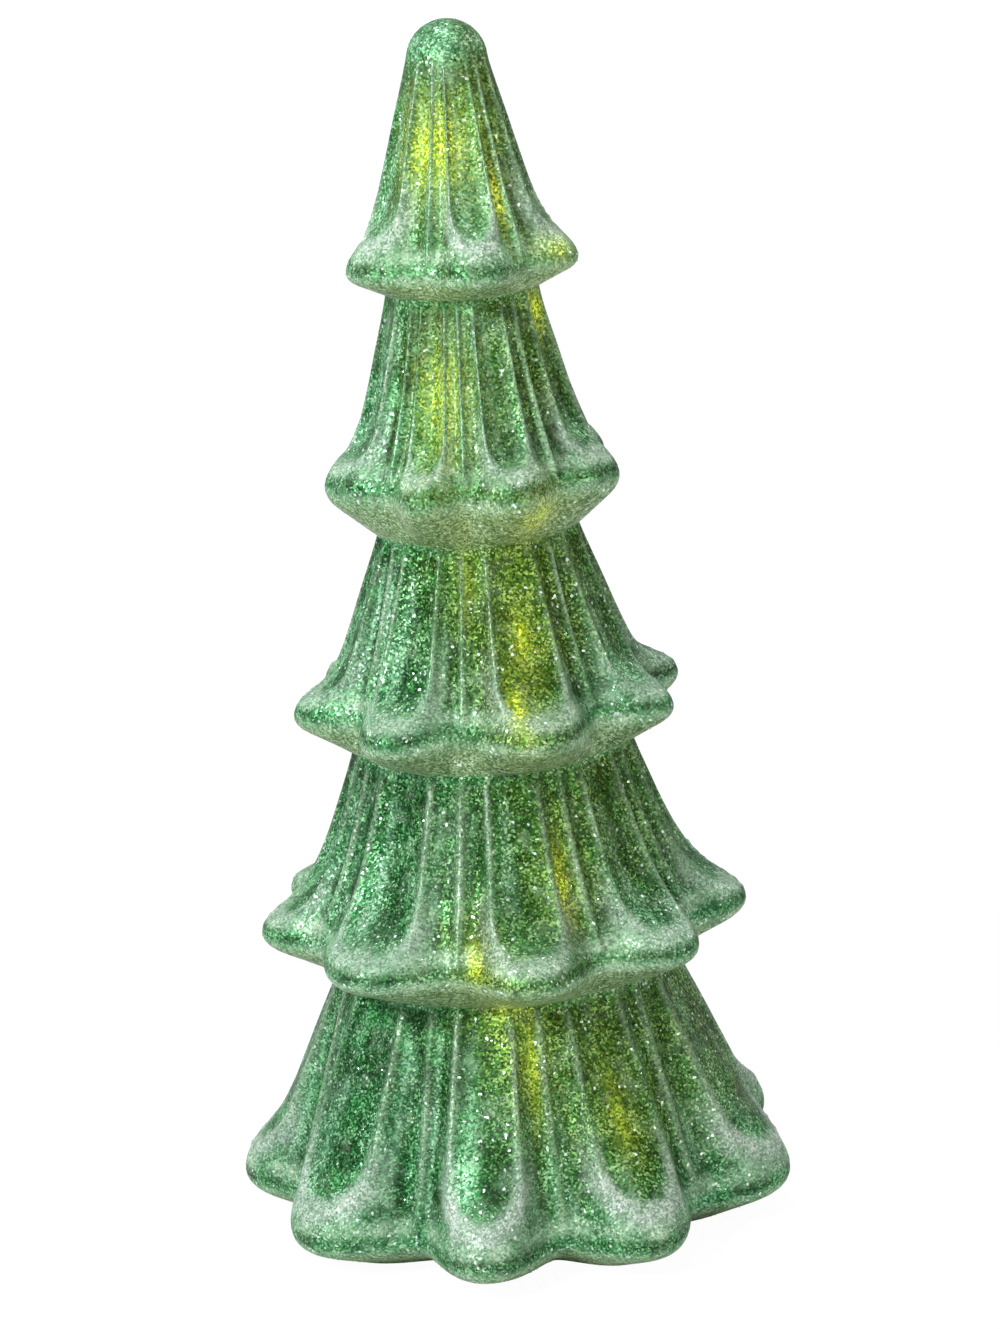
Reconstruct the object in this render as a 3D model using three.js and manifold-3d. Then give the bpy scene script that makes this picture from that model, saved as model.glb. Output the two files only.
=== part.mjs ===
// Light-up glass Christmas tree: a hollow glass tree of five fluted tiers on a round battery base, lit
// from inside by a coiled string of small lamps.
// Millimetres, +Z up, front towards -Y. The origin is on the tree's axis, in the plane it stands on.
import * as THREE from "three";
import { mergeVertices } from "three/addons/utils/BufferGeometryUtils.js";
import Module from "manifold-3d";

const wasm = await Module();
wasm.setup();

// Clearances
const TOUCH_GAP = 0.3; // between two pieces that touch on the real object
const SLIDE_GAP = 0.2; // between two flat faces that slide or butt
const HOLE_GAP = 0.35; // round a piece that drops into an opening

// Glass. Its mouth follows from the base that is glued into it.
const TREE_HEIGHT = 303.2;
const TREE_RADIUS = 74.2; // to the unrounded corner of the lowest tips
const GLUE_ROOM = 2.2; // between base and glass
const GLASS_WALL = 3.2;
const FOOT_LIFT = 0.8; // the glass hangs clear of the table, so that the pads carry the tree
const FOOT_RING_WIDTH = 2.8; // of the glass's foot below a valley
const FOOT_TIP_REACH = 13.8; // and below a tip
const MOUTH_HEIGHT = 4.4;
const DOME_RADIUS = 0.132 * TREE_RADIUS;
const DOME_HALF_ANGLE = THREE.MathUtils.degToRad(13); // of the cone that the dome runs into

// Tiers, from the foot up. A tier's underside rises from the neck below it, or from the foot, to its rim,
// and its wall rises from the rim to its own neck. Rim radii are those of the unrounded corner. Each lobe
// lies between two of the listed valleys, and the last one closes the turn.
const TIERS = [
  {
    valleysDeg: [-164, -117, -81, -42, 6, 44, 82, 120, 158],
    undersideHeight: 0.0264 * TREE_HEIGHT,
    wallHeight: 0.1920 * TREE_HEIGHT,
    neckRadius: 0.5674 * TREE_RADIUS,
    tipRadius: TREE_RADIUS,
    valleyRadius: 0.8086 * TREE_RADIUS,
    straightShare: 0.97,
    flarePower: 10,
  },
  {
    valleysDeg: [-155, -104, -63, -24, 18, 56, 94, 132, 169],
    undersideHeight: 0.0369 * TREE_HEIGHT,
    wallHeight: 0.1511 * TREE_HEIGHT,
    neckRadius: 0.4677 * TREE_RADIUS,
    tipRadius: 0.9003 * TREE_RADIUS,
    valleyRadius: 0.7075 * TREE_RADIUS,
    straightShare: 0.53,
    flarePower: 5.5,
  },
  {
    valleysDeg: [-149, -101, -46, -5, 33, 77, 122, 167],
    undersideHeight: 0.0369 * TREE_HEIGHT,
    wallHeight: 0.1428 * TREE_HEIGHT,
    neckRadius: 0.3342 * TREE_RADIUS,
    tipRadius: 0.7251 * TREE_RADIUS,
    valleyRadius: 0.5094 * TREE_RADIUS,
    straightShare: 0.64,
    flarePower: 10.5,
  },
  {
    valleysDeg: [-132, -95, -50, 4, 66, 114, 160],
    undersideHeight: 0.0485 * TREE_HEIGHT,
    wallHeight: 0.1481 * TREE_HEIGHT,
    neckRadius: 0.2520 * TREE_RADIUS,
    tipRadius: 0.5606 * TREE_RADIUS,
    valleyRadius: 0.4313 * TREE_RADIUS,
    straightShare: 0.5,
    flarePower: 9,
  },
  {
    valleysDeg: [-111, -48, 36, 96, 152],
    undersideHeight: 0.0211 * TREE_HEIGHT,
    wallHeight: 0.1685 * TREE_HEIGHT,
    neckRadius: DOME_RADIUS * Math.cos(DOME_HALF_ANGLE),
    tipRadius: 0.4313 * TREE_RADIUS,
    valleyRadius: 0.3167 * TREE_RADIUS,
    straightShare: 0.65,
    flarePower: 11,
  },
];
const VALLEY_FLARE_POWER = 2; // a valley's wall flares out softly, a lobe's tip sharply
const LOBE_SHARPNESS = 0.8;
const ROUND_FROM_WALL = 0.85; // the rim's rounding starts here on the wall
const ROUND_TO_UNDERSIDE = 0.4; // and ends here on the underside
const TIP_INSET = 2.2; // the hollow's rim corners, in walls inside the outer ones
const VALLEY_INSET = 1.6;

// Grooves of the glass: a wide one down the middle of each lobe, a narrow one on either side of a valley
const GROOVE_EDGE = 0.55; // where the wide groove ends, from 0 mid-lobe to 1 in the valley
const GROOVE_DEPTH = 3;
const NARROW_GROOVE_DEPTH = 1.8;
const NECK_GROOVE_SHARE = 0.5; // of the depth that is left at a neck
const GROOVE_FULL_FROM = 0.4; // down the wall
const GROOVE_FADE_FROM = 0.84;
const HOLLOW_GROOVE_SHARE = 0.6; // of the depth that the hollow's surface follows

// Mesh of the glass
const COLUMNS = 72;
const WALL_ROWS = [0, 0.25, 0.5, 0.7, 0.85];
const ROUND_ROWS = [0.35, 0.7, 1];
const HOLLOW_WALL_ROWS = [0, 0.45, 0.8];
const HOLLOW_ROUND_ROWS = [0.6];
const DOME_ROWS = [0.33, 0.66];

// Feet and base
const PAD_HEIGHT = 1.2;
const PAD_RADIUS = 4;
const PAD_EDGE = 0.5; // of the base outside a pad
const PAD_ANGLE_DEG = 40; // either side of the X axis
const BASE_THICKNESS = 3.2;
const SKIRT_WALL = 2.2;
const SKIRT_HEIGHT = 10.8;
const GLUE_LIFT = 2;
const GLUE_HEIGHT = 2.8;
const ROUND_SIDES = 48;
const SMALL_SIDES = 16;

// Battery bay: three cells side by side, their length along Y
const CELLS = 3;
const CELL_RADIUS = 5.2;
const CELL_BODY_LENGTH = 43.5;
const NUB_RADIUS = 1.9;
const NUB_LENGTH = 1;
const CELL_SPACING = 11.2;
const CELL_SIDE_GAP = 0.45;
const CELL_SIDES = 20;
const SPRING_LENGTH = 4.4; // squeezed
const CONTACT_THICKNESS = 0.5;
const CONTACT_SIZE = 8.4;
const CONTACT_TAIL_WIDTH = 2.4;
const CONTACT_TAIL_RISE = 1.6; // above the bay's roof
const BAY_WALL = 1.6;
const BAY_ROOF = 1.8;

// Springs of the contacts
const SPRING_WIRE_RADIUS = 0.4;
const SPRING_TURNS = 3;
const SPRING_FOOT_RADIUS = 3.4;
const SPRING_TIP_RADIUS = 2;
const SPRING_STEPS = 8; // each turn
const SPRING_SIDES = 5;

// Battery door: two tongues behind the base's edge at -Y, one screw at +Y
const DOOR_THICKNESS = 2;
const DOOR_LAP_X = 1.7; // beyond the bay's opening
const DOOR_LAP_Y = 2.25;
const TONGUE_WIDTH = 7;
const TONGUE_LENGTH = 3;
const TONGUE_THICKNESS = 0.9;
const TONGUE_DROP = 0.25; // below the door's top, so that it clears the bay as the door tilts
const TONGUE_SPACING = 20;
const LUG_RADIUS = 5;
const LUG_REACH = 3.5; // of its centre beyond the door's edge
const GRIP_RIBS = 5;
const GRIP_RIB_SIZE = 0.6;
const GRIP_RIB_LENGTH = 12;
const GRIP_RIB_SPACING = 2;
const BOSS_RADIUS = 3.6;
const BOSS_HEIGHT = 10;
const SCREW_HEAD_RADIUS = 2.6;
const SCREW_HEAD_HEIGHT = 1.4;
const SCREW_HEAD_PROUD = 0.3;
const SCREW_SLOT_WIDTH = 0.7;
const SCREW_SLOT_DEPTH = 0.6;
const SCREW_RADIUS = 1.25;
const SCREW_LENGTH = 5.2;
const PILOT_CLEARANCE = 0.5; // the screw's tip swings out with the door
const COUNTERBORE_DEPTH = 1.3;

// Circuit board, switch and what is on the board
const BOARD_BAY_GAP = 3.15;
const BOARD_SKIRT_GAP = 3.8;
const BOARD_WIDTH = 12.4;
const BOARD_LENGTH = 26;
const BOARD_THICKNESS = 1.2;
const BOARD_POST_HEIGHT = 6.1;
const BOARD_POST_RADIUS = 2.1;
const BOARD_SCREW_SPACING = 21.6;
const BOARD_SCREW_RADIUS = 0.9;
const BOARD_SCREW_LENGTH = 5;
const BOARD_SCREW_HEAD_RADIUS = 1.9;
const BOARD_SCREW_HEAD_HEIGHT = 1.2;
const SWITCH_WIDTH = 8;
const SWITCH_LENGTH = 14;
const KNOB_TRAVEL = 4; // ON, OFF and TIMER, 2 mm apart
const KNOB_STEM = 3;
const KNOB_FLANGE_WIDTH = 6;
const KNOB_FLANGE_LENGTH = 11.6;
const KNOB_FLANGE_THICKNESS = 0.8;
const KNOB_TABLE_GAP = 0.6;
const KNOB_SLOT_GAP = 0.5;
const CHIP_SIZE = [5, 5.4, 1.5];
const CHIP_Y = -3.6;
const CRYSTAL_RADIUS = 1.5;
const CRYSTAL_LENGTH = 8;
const CRYSTAL_Y = 2.5;

// Leads and light string
const LEAD_RADIUS = 0.6;
const LEAD_SIDES = 8;
const LEAD_STEPS = 14;
const LEAD_INSET = 3.5; // of a lead's end from the board's long edge
const LEAD_CLIMB = 1.6; // straight up from a contact's tail
const LEAD_ARCH = 1; // further up, over the bay's roof
const LEAD_DROP = 3; // straight down to the board
const LEAD_EDGE_SETBACK = 2; // inside the edge of the bay's roof, where a lead starts down
const LEAD_EDGE_REACH = 3; // outside it, where it has come down
const LEAD_EDGE_DROP = 2;
const RED_EDGE_Y = [5, 12]; // of those two places, from the bay's end
const BLACK_EDGE_Y = [7, 13];
const BLACK_CROSSING_Y = 4; // where it crosses the bay's middle, from the bay's end
const WIRE_RADIUS = 0.6;
const WIRE_SIDES = 5;
const COIL_TURNS = 17.35;
const COIL_STEPS = 14; // each turn
const COIL_START_HEIGHT = 27.7;
const COIL_INSET = 7; // of the coil's start from the base's edge
const COIL_TOP_RADIUS = 3.6;
const COIL_TOP_DROP = 12; // below the top tier's neck
const COIL_CLEARANCE = 0.6; // between the coil and the glass at a neck
const WIRE_Y = 5;
const LAMP_RADIUS = 1.9;
const LAMP_TURNS = [
  0.3, 0.8, 1.28, 1.74, 2.24, 2.72, 3.28, 3.7, 4.78, 5.4, 6.3, 7.75, 8.77, 9.7, 10.8, 12.72, 13.92, 14.95,
  15.82, 16.7,
];

// Derived sizes
const BASE_TOP = PAD_HEIGHT + BASE_THICKNESS;
const BAY_WIDTH = (CELLS - 1) * CELL_SPACING + 2 * (CELL_RADIUS + CELL_SIDE_GAP);
const CELL_LENGTH = CELL_BODY_LENGTH + NUB_LENGTH;
const BAY_LENGTH = CELL_LENGTH + SPRING_LENGTH + 2 * CONTACT_THICKNESS + 4 * TOUCH_GAP;
const DOOR_TOP = PAD_HEIGHT + DOOR_THICKNESS;
const LEDGE_HEIGHT = DOOR_TOP + SLIDE_GAP;
const CELL_HEIGHT = DOOR_TOP + CELL_SIDE_GAP + CELL_RADIUS;
const ROOF_HEIGHT = CELL_HEIGHT + CELL_RADIUS + CELL_SIDE_GAP;
const ROOF_TOP = ROOF_HEIGHT + BAY_ROOF;
const DOOR_WIDTH = BAY_WIDTH + 2 * DOOR_LAP_X;
const DOOR_LENGTH = BAY_LENGTH + 2 * DOOR_LAP_Y;
const LUG_Y = DOOR_LENGTH / 2 + LUG_REACH;
const TONGUE_TOP = DOOR_TOP - TONGUE_DROP;
const BAY_SIDE = BAY_WIDTH / 2 + BAY_WALL;
const BOARD_X = BAY_SIDE + BOARD_BAY_GAP + BOARD_WIDTH / 2;
const BASE_RADIUS = BOARD_X + BOARD_WIDTH / 2 + BOARD_SKIRT_GAP + SKIRT_WALL;
const MOUTH_RADIUS = BASE_RADIUS + GLUE_ROOM;
const PAD_CIRCLE_RADIUS = BASE_RADIUS - PAD_EDGE - PAD_RADIUS;
const BOARD_BOTTOM = BASE_TOP + BOARD_POST_HEIGHT;
const BOARD_TOP = BOARD_BOTTOM + BOARD_THICKNESS;

// Materials
const material = (color, roughness, metalness = 0) =>
  new THREE.MeshStandardMaterial({ color, roughness, metalness });
const GLITTER_GLASS = material(0x2c6b37, 0.35, 0.2);
const DARK_PLASTIC = material(0x1d2a20, 0.6);
const SILICONE = material(0xd9ddd6, 0.5);
const NICKEL = material(0xc8c8c4, 0.3, 1);
const SCREW_STEEL = material(0x9a9a9c, 0.35, 1);
const BOARD_GREEN = material(0x1f5d33, 0.5);
const CHIP_BLACK = material(0x141414, 0.6);
const CELL_WRAP = material(0x2f6fb0, 0.35, 0.3);
const COPPER_WIRE = material(0xb98545, 0.4, 0.8);
const LEAD_RED = material(0xb21f1f, 0.5);
const LEAD_BLACK = material(0x161616, 0.5);
const LAMP_CLEAR = material(0xfff0c0, 0.15);

const tree = new THREE.Group();

// Adds one named piece to a group, the whole tree if none is given.
function addPiece(name, geometry, look, parent = tree) {
  const mesh = new THREE.Mesh(geometry, look);
  mesh.name = name;
  parent.add(mesh);
  return mesh;
}

// A closed geometry as a solid that can be cut and joined.
function solidOf(geometry) {
  const bare = geometry.clone();
  bare.deleteAttribute("normal");
  bare.deleteAttribute("uv");
  const merged = mergeVertices(bare, 1e-4);
  const mesh = new wasm.Mesh({
    numProp: 3,
    vertProperties: merged.getAttribute("position").array,
    triVerts: new Uint32Array(merged.index.array),
  });
  return new wasm.Manifold(mesh);
}

// A solid back as a geometry.
function geometryOf(body) {
  const mesh = body.getMesh();
  const geometry = new THREE.BufferGeometry();
  geometry.setAttribute("position", new THREE.BufferAttribute(mesh.vertProperties, 3));
  geometry.setIndex(new THREE.BufferAttribute(mesh.triVerts, 1));
  geometry.computeVertexNormals();
  return geometry;
}

// The added shapes joined, with the cut ones taken out.
function carve(added, cut = []) {
  let body = solidOf(added[0]);
  for (const shape of added.slice(1)) body = body.add(solidOf(shape));
  for (const shape of cut) body = body.subtract(solidOf(shape));
  return geometryOf(body);
}

// A box from its size, the middle of its footprint and its lowest height.
function block(width, length, height, x = 0, y = 0, bottom = 0) {
  return new THREE.BoxGeometry(width, length, height).translate(x, y, bottom + height / 2);
}

// An upright round post.
function post(radius, height, x = 0, y = 0, bottom = 0, sides = SMALL_SIDES) {
  return new THREE.CylinderGeometry(radius, radius, height, sides)
    .rotateX(Math.PI / 2)
    .translate(x, y, bottom + height / 2);
}

// A ring or disc turned about Z from [radius, height] corners, listed up the outside.
function turned(corners, sides = ROUND_SIDES) {
  const profile = corners.map(([radius, height]) => new THREE.Vector2(radius, height));
  return new THREE.LatheGeometry(profile, sides).rotateX(Math.PI / 2);
}

// A round bar along a curve.
function bar(curve, radius, sides, steps) {
  const section = new THREE.Shape(
    Array.from({ length: sides }, (_, i) => {
      const angle = (2 * Math.PI * i) / sides;
      return new THREE.Vector2(radius * Math.cos(angle), radius * Math.sin(angle));
    }),
  );
  return new THREE.ExtrudeGeometry(section, { steps, extrudePath: curve, bevelEnabled: false });
}

// Glass tree

// A tier's heights follow from the tiers below it.
let stacked = FOOT_LIFT;
for (const tier of TIERS) {
  tier.baseHeight = stacked;
  tier.rimHeight = stacked + tier.undersideHeight;
  tier.neckHeight = tier.rimHeight + tier.wallHeight;
  stacked = tier.neckHeight;
}
const TOP_TIER = TIERS[TIERS.length - 1];
const DOME_CENTRE = TOP_TIER.neckHeight - DOME_RADIUS * Math.sin(DOME_HALF_ANGLE);

const mix = THREE.MathUtils.lerp;

// Place of a step round a tier: its angle about Z, and its share of the way from mid-lobe to valley. Each
// lobe takes a whole number of steps, and they keep to its groove edges.
function stepPlace(tier, step) {
  const valleys = [...tier.valleysDeg, tier.valleysDeg[0] + 360];
  const firstStep = (lobe) => Math.round(((valleys[lobe] - valleys[0]) * COLUMNS) / 360);
  const wrapped = THREE.MathUtils.euclideanModulo(step, COLUMNS);
  let lobe = 0;
  while (firstStep(lobe + 1) <= wrapped) lobe++;
  const steps = firstStep(lobe + 1) - firstStep(lobe);
  const share = (wrapped - firstStep(lobe)) / steps;
  const edgeShare = Math.round((steps * (1 - GROOVE_EDGE)) / 2) / steps;
  let across = -GROOVE_EDGE + (2 * GROOVE_EDGE * (share - edgeShare)) / (1 - 2 * edgeShare);
  if (share < edgeShare) across = -1 + ((1 - GROOVE_EDGE) * share) / edgeShare;
  if (share > 1 - edgeShare) across = 1 - ((1 - GROOVE_EDGE) * (1 - share)) / edgeShare;
  const degrees = mix(valleys[lobe], valleys[lobe + 1], (across + 1) / 2);
  return { angle: THREE.MathUtils.degToRad(degrees), across: Math.abs(across) };
}

// Column 0 of every tier is the step that lies nearest to the front.
for (const tier of TIERS) {
  const turnedAway = (step) => 1 + Math.sin(stepPlace(tier, step).angle);
  tier.frontStep = 0;
  for (let step = 1; step < COLUMNS; step++)
    if (turnedAway(step) < turnedAway(tier.frontStep)) tier.frontStep = step;
}

const columnPlace = (tier, column) => stepPlace(tier, tier.frontStep + column);

// How far the grooves cut in, at a share down the wall and a share across the half lobe.
function grooveDepth(tier, down, across) {
  const half = (1 - GROOVE_EDGE) / 2;
  const wide = GROOVE_DEPTH * (1 - (across / GROOVE_EDGE) ** 2);
  const narrow = NARROW_GROOVE_DEPTH * (1 - ((across - 1 + half) / half) ** 2);
  const neckShare = tier === TOP_TIER ? 0 : NECK_GROOVE_SHARE;
  const growth = mix(neckShare, 1, Math.min(1, down / GROOVE_FULL_FROM));
  const fade = 1 - THREE.MathUtils.smoothstep(down, GROOVE_FADE_FROM, 1);
  return growth * fade * (across < GROOVE_EDGE ? wide : narrow);
}

// The [radius, height] of a point of one tier's outline, whose rim corner has the given radius.
function wallPoint(outline, cornerRadius, flarePower, down) {
  const bulge = outline.straightShare * down + (1 - outline.straightShare) * down ** flarePower;
  return [
    mix(outline.neckRadius, cornerRadius, bulge),
    mix(outline.neckHeight, outline.rimHeight, down),
  ];
}

// The rounded rim, a quadratic curve from the wall to the underside.
function roundPoint(outline, cornerRadius, flarePower, baseRadius, share) {
  const from = wallPoint(outline, cornerRadius, flarePower, ROUND_FROM_WALL);
  const corner = [cornerRadius, outline.rimHeight];
  const to = [
    mix(cornerRadius, baseRadius, ROUND_TO_UNDERSIDE),
    mix(outline.rimHeight, outline.baseHeight, ROUND_TO_UNDERSIDE),
  ];
  return [0, 1].map((i) => mix(mix(from[i], corner[i], share), mix(corner[i], to[i], share), share));
}

// One ring of vertices of a tier, from a rule that gives the outline's point for a corner radius.
function ring(outline, pointFor, down, grooveShare) {
  return Array.from({ length: COLUMNS }, (_, column) => {
    const { angle, across } = columnPlace(outline.tier, column);
    const lobe = (0.5 + 0.5 * Math.cos(Math.PI * across)) ** LOBE_SHARPNESS;
    const tip = pointFor(outline.tipRadius, outline.tier.flarePower, outline.tipBase);
    const valley = pointFor(outline.valleyRadius, VALLEY_FLARE_POWER, outline.valleyBase);
    const groove = down < 1 ? grooveShare * grooveDepth(outline.tier, down, across) : 0;
    const radius = mix(valley[0], tip[0], lobe) - groove;
    const height = mix(valley[1], tip[1], lobe);
    return [radius * Math.cos(angle), radius * Math.sin(angle), height];
  });
}

// The rings of one tier from its neck down.
function tierRings(outline, wallRows, roundRows, grooveShare) {
  const wall = wallRows.map((down) =>
    ring(outline, (corner, power) => wallPoint(outline, corner, power, down), down, grooveShare),
  );
  const round = roundRows.map((share) =>
    ring(outline, (corner, power, base) => roundPoint(outline, corner, power, base, share), 1, 0),
  );
  return [...wall, ...round];
}

// A plain round ring on the columns of a tier.
function plainRing(tier, radius, height) {
  return Array.from({ length: COLUMNS }, (_, column) => {
    const { angle } = columnPlace(tier, column);
    return [radius * Math.cos(angle), radius * Math.sin(angle), height];
  });
}

// Outer outline of a tier: its tips and its valleys end at the neck below, or at the foot.
function outerOutline(tier, below) {
  return {
    tier,
    neckRadius: tier.neckRadius,
    neckHeight: tier.neckHeight,
    rimHeight: tier.rimHeight,
    baseHeight: tier.baseHeight,
    tipBase: below ? below.neckRadius : MOUTH_RADIUS + FOOT_TIP_REACH,
    valleyBase: below ? below.neckRadius : MOUTH_RADIUS + FOOT_RING_WIDTH,
    tipRadius: tier.tipRadius,
    valleyRadius: tier.valleyRadius,
    straightShare: tier.straightShare,
  };
}

// Outline of the hollow inside a tier.
function hollowOutline(tier, below) {
  return {
    tier,
    neckRadius: tier.neckRadius - GLASS_WALL,
    neckHeight: tier.neckHeight,
    rimHeight: tier.rimHeight + GLASS_WALL,
    baseHeight: below ? tier.baseHeight : FOOT_LIFT + MOUTH_HEIGHT,
    tipBase: below ? below.neckRadius - GLASS_WALL : MOUTH_RADIUS,
    valleyBase: below ? below.neckRadius - GLASS_WALL : MOUTH_RADIUS,
    tipRadius: tier.tipRadius - TIP_INSET * GLASS_WALL,
    valleyRadius: tier.valleyRadius - VALLEY_INSET * GLASS_WALL,
    straightShare: tier.straightShare,
  };
}

// The whole glass: rings down the outside, round the foot and up the hollow, with a point at each top.
function glassGeometry() {
  const topDown = TIERS.map((tier, i) => [tier, TIERS[i - 1]]).reverse();
  const dome = DOME_ROWS.map((share) => {
    const rise = mix(Math.PI / 2, DOME_HALF_ANGLE, share);
    return plainRing(TOP_TIER, DOME_RADIUS * Math.cos(rise), DOME_CENTRE + DOME_RADIUS * Math.sin(rise));
  });
  const outside = topDown.flatMap(([tier, below]) =>
    tierRings(outerOutline(tier, below), WALL_ROWS, ROUND_ROWS, 1),
  );
  const footOutline = outerOutline(TIERS[0]);
  const foot = [
    ring(footOutline, (corner, power, base) => [base, FOOT_LIFT], 1, 0),
    plainRing(TIERS[0], MOUTH_RADIUS, FOOT_LIFT),
    plainRing(TIERS[0], MOUTH_RADIUS, FOOT_LIFT + MOUTH_HEIGHT),
  ];
  const inside = topDown
    .flatMap(([tier, below]) =>
      tierRings(hollowOutline(tier, below), HOLLOW_WALL_ROWS, HOLLOW_ROUND_ROWS, HOLLOW_GROOVE_SHARE),
    )
    .reverse();
  const rings = [...dome, ...outside, ...foot, ...inside];
  const apex = [0, 0, DOME_CENTRE + DOME_RADIUS];
  const hollowApex = [0, 0, DOME_CENTRE + DOME_RADIUS - 2 * GLASS_WALL];
  const places = [apex, ...rings.flat(), hollowApex];
  const last = places.length - 1;
  const at = (row, column) => 1 + row * COLUMNS + (column % COLUMNS);
  const faces = [];
  for (let column = 0; column < COLUMNS; column++) {
    faces.push(0, at(0, column), at(0, column + 1));
    faces.push(at(rings.length - 1, column + 1), at(rings.length - 1, column), last);
    for (let row = 0; row + 1 < rings.length; row++) {
      faces.push(at(row, column), at(row + 1, column), at(row, column + 1));
      faces.push(at(row, column + 1), at(row + 1, column), at(row + 1, column + 1));
    }
  }
  const geometry = new THREE.BufferGeometry();
  geometry.setAttribute("position", new THREE.Float32BufferAttribute(places.flat(), 3));
  geometry.setIndex(faces);
  geometry.computeVertexNormals();
  return geometry;
}

addPiece("glass_tree", glassGeometry(), GLITTER_GLASS);

// Base: a flat disc with a skirt that the glass is glued round

const TONGUE_PLACES = [-TONGUE_SPACING / 2, TONGUE_SPACING / 2];
const TAIL_SLOT = CONTACT_THICKNESS + 2 * TOUCH_GAP;
const BAY_END = BAY_LENGTH / 2;
const CONTACT_Y = BAY_END - TOUCH_GAP - CONTACT_THICKNESS / 2;
const OUTER_CELL_X = ((CELLS - 1) * CELL_SPACING) / 2;
const BOARD_SCREW_PLACES = [-BOARD_SCREW_SPACING / 2, BOARD_SCREW_SPACING / 2];
const KNOB_REST_Y = KNOB_TRAVEL / 2;
const PILOT_RADIUS = SCREW_RADIUS + PILOT_CLEARANCE;

// Where the two leads' contacts come up through the roof: which end and which outer cell.
const TAILS = { positive: [OUTER_CELL_X, CONTACT_Y], negative: [-OUTER_CELL_X, -CONTACT_Y] };

// The lug that carries the door's screw and the strip that joins it to the door, grown by a gap.
function lugShape(gap, height, bottom = 0) {
  return [
    post(LUG_RADIUS + gap, height, 0, LUG_Y, bottom),
    block(2 * (LUG_RADIUS + gap), LUG_REACH, height, 0, LUG_Y - LUG_REACH / 2, bottom),
  ];
}

function baseHousing() {
  const disc = turned([
    [0, PAD_HEIGHT],
    [BASE_RADIUS, PAD_HEIGHT],
    [BASE_RADIUS, PAD_HEIGHT + SKIRT_HEIGHT],
    [BASE_RADIUS - SKIRT_WALL, PAD_HEIGHT + SKIRT_HEIGHT],
    [BASE_RADIUS - SKIRT_WALL, BASE_TOP],
    [0, BASE_TOP],
  ]);
  const bay = block(
    BAY_WIDTH + 2 * BAY_WALL,
    BAY_LENGTH + 2 * BAY_WALL,
    ROOF_TOP - LEDGE_HEIGHT,
    0,
    0,
    LEDGE_HEIGHT,
  );
  const boss = post(BOSS_RADIUS, BOSS_HEIGHT, 0, LUG_Y, LEDGE_HEIGHT);
  const boardPosts = BOARD_SCREW_PLACES.map((y) =>
    post(BOARD_POST_RADIUS, BOARD_BOTTOM - LEDGE_HEIGHT, BOARD_X, y, LEDGE_HEIGHT),
  );
  const room = block(BAY_WIDTH, BAY_LENGTH, ROOF_HEIGHT);
  const doorRecess = block(DOOR_WIDTH + 2 * HOLE_GAP, DOOR_LENGTH + 2 * HOLE_GAP, LEDGE_HEIGHT);
  const lugRecess = lugShape(HOLE_GAP, LEDGE_HEIGHT);
  const pilot = post(PILOT_RADIUS, SCREW_LENGTH + DOOR_TOP, 0, LUG_Y);
  const boardPilots = BOARD_SCREW_PLACES.map((y) =>
    post(BOARD_SCREW_RADIUS + TOUCH_GAP, 2 * BOARD_SCREW_LENGTH, BOARD_X, y, BOARD_TOP - BOARD_SCREW_LENGTH),
  );
  const knobSlot = block(
    KNOB_STEM + 2 * KNOB_SLOT_GAP,
    KNOB_STEM + KNOB_TRAVEL + 2 * KNOB_SLOT_GAP,
    2 * BASE_TOP,
    BOARD_X,
    0,
  );
  const pockets = TONGUE_PLACES.map((x) =>
    block(
      TONGUE_WIDTH + 2 * HOLE_GAP,
      TONGUE_LENGTH + 2 * HOLE_GAP,
      BASE_TOP,
      x,
      -(DOOR_LENGTH + TONGUE_LENGTH) / 2,
      TONGUE_TOP - TONGUE_THICKNESS - SLIDE_GAP,
    ),
  );
  const tailSlots = Object.values(TAILS).map(([x, y]) =>
    block(CONTACT_TAIL_WIDTH + 2 * TOUCH_GAP, TAIL_SLOT, ROOF_TOP, x, y, ROOF_HEIGHT - BAY_ROOF),
  );
  return carve(
    [disc, bay, boss, ...boardPosts],
    [room, doorRecess, ...lugRecess, pilot, ...boardPilots, knobSlot, ...pockets, ...tailSlots],
  );
}

addPiece("base_housing", baseHousing(), DARK_PLASTIC);

const GLUE_INNER = BASE_RADIUS + TOUCH_GAP;
const GLUE_OUTER = MOUTH_RADIUS - TOUCH_GAP;
const glue = addPiece(
  "adhesive_ring",
  turned([
    [GLUE_INNER, 0],
    [GLUE_OUTER, 0],
    [GLUE_OUTER, GLUE_HEIGHT],
    [GLUE_INNER, GLUE_HEIGHT],
    [GLUE_INNER, 0],
  ]),
  SILICONE,
);
glue.position.z = GLUE_LIFT;

[PAD_ANGLE_DEG, 180 - PAD_ANGLE_DEG, 180 + PAD_ANGLE_DEG, -PAD_ANGLE_DEG].forEach((degrees, i) => {
  const angle = THREE.MathUtils.degToRad(degrees);
  const pad = addPiece(`foot_pad_${i + 1}`, post(PAD_RADIUS, PAD_HEIGHT), SILICONE);
  pad.position.set(PAD_CIRCLE_RADIUS * Math.cos(angle), PAD_CIRCLE_RADIUS * Math.sin(angle), 0);
});

// Battery door and its captive screw

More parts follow.
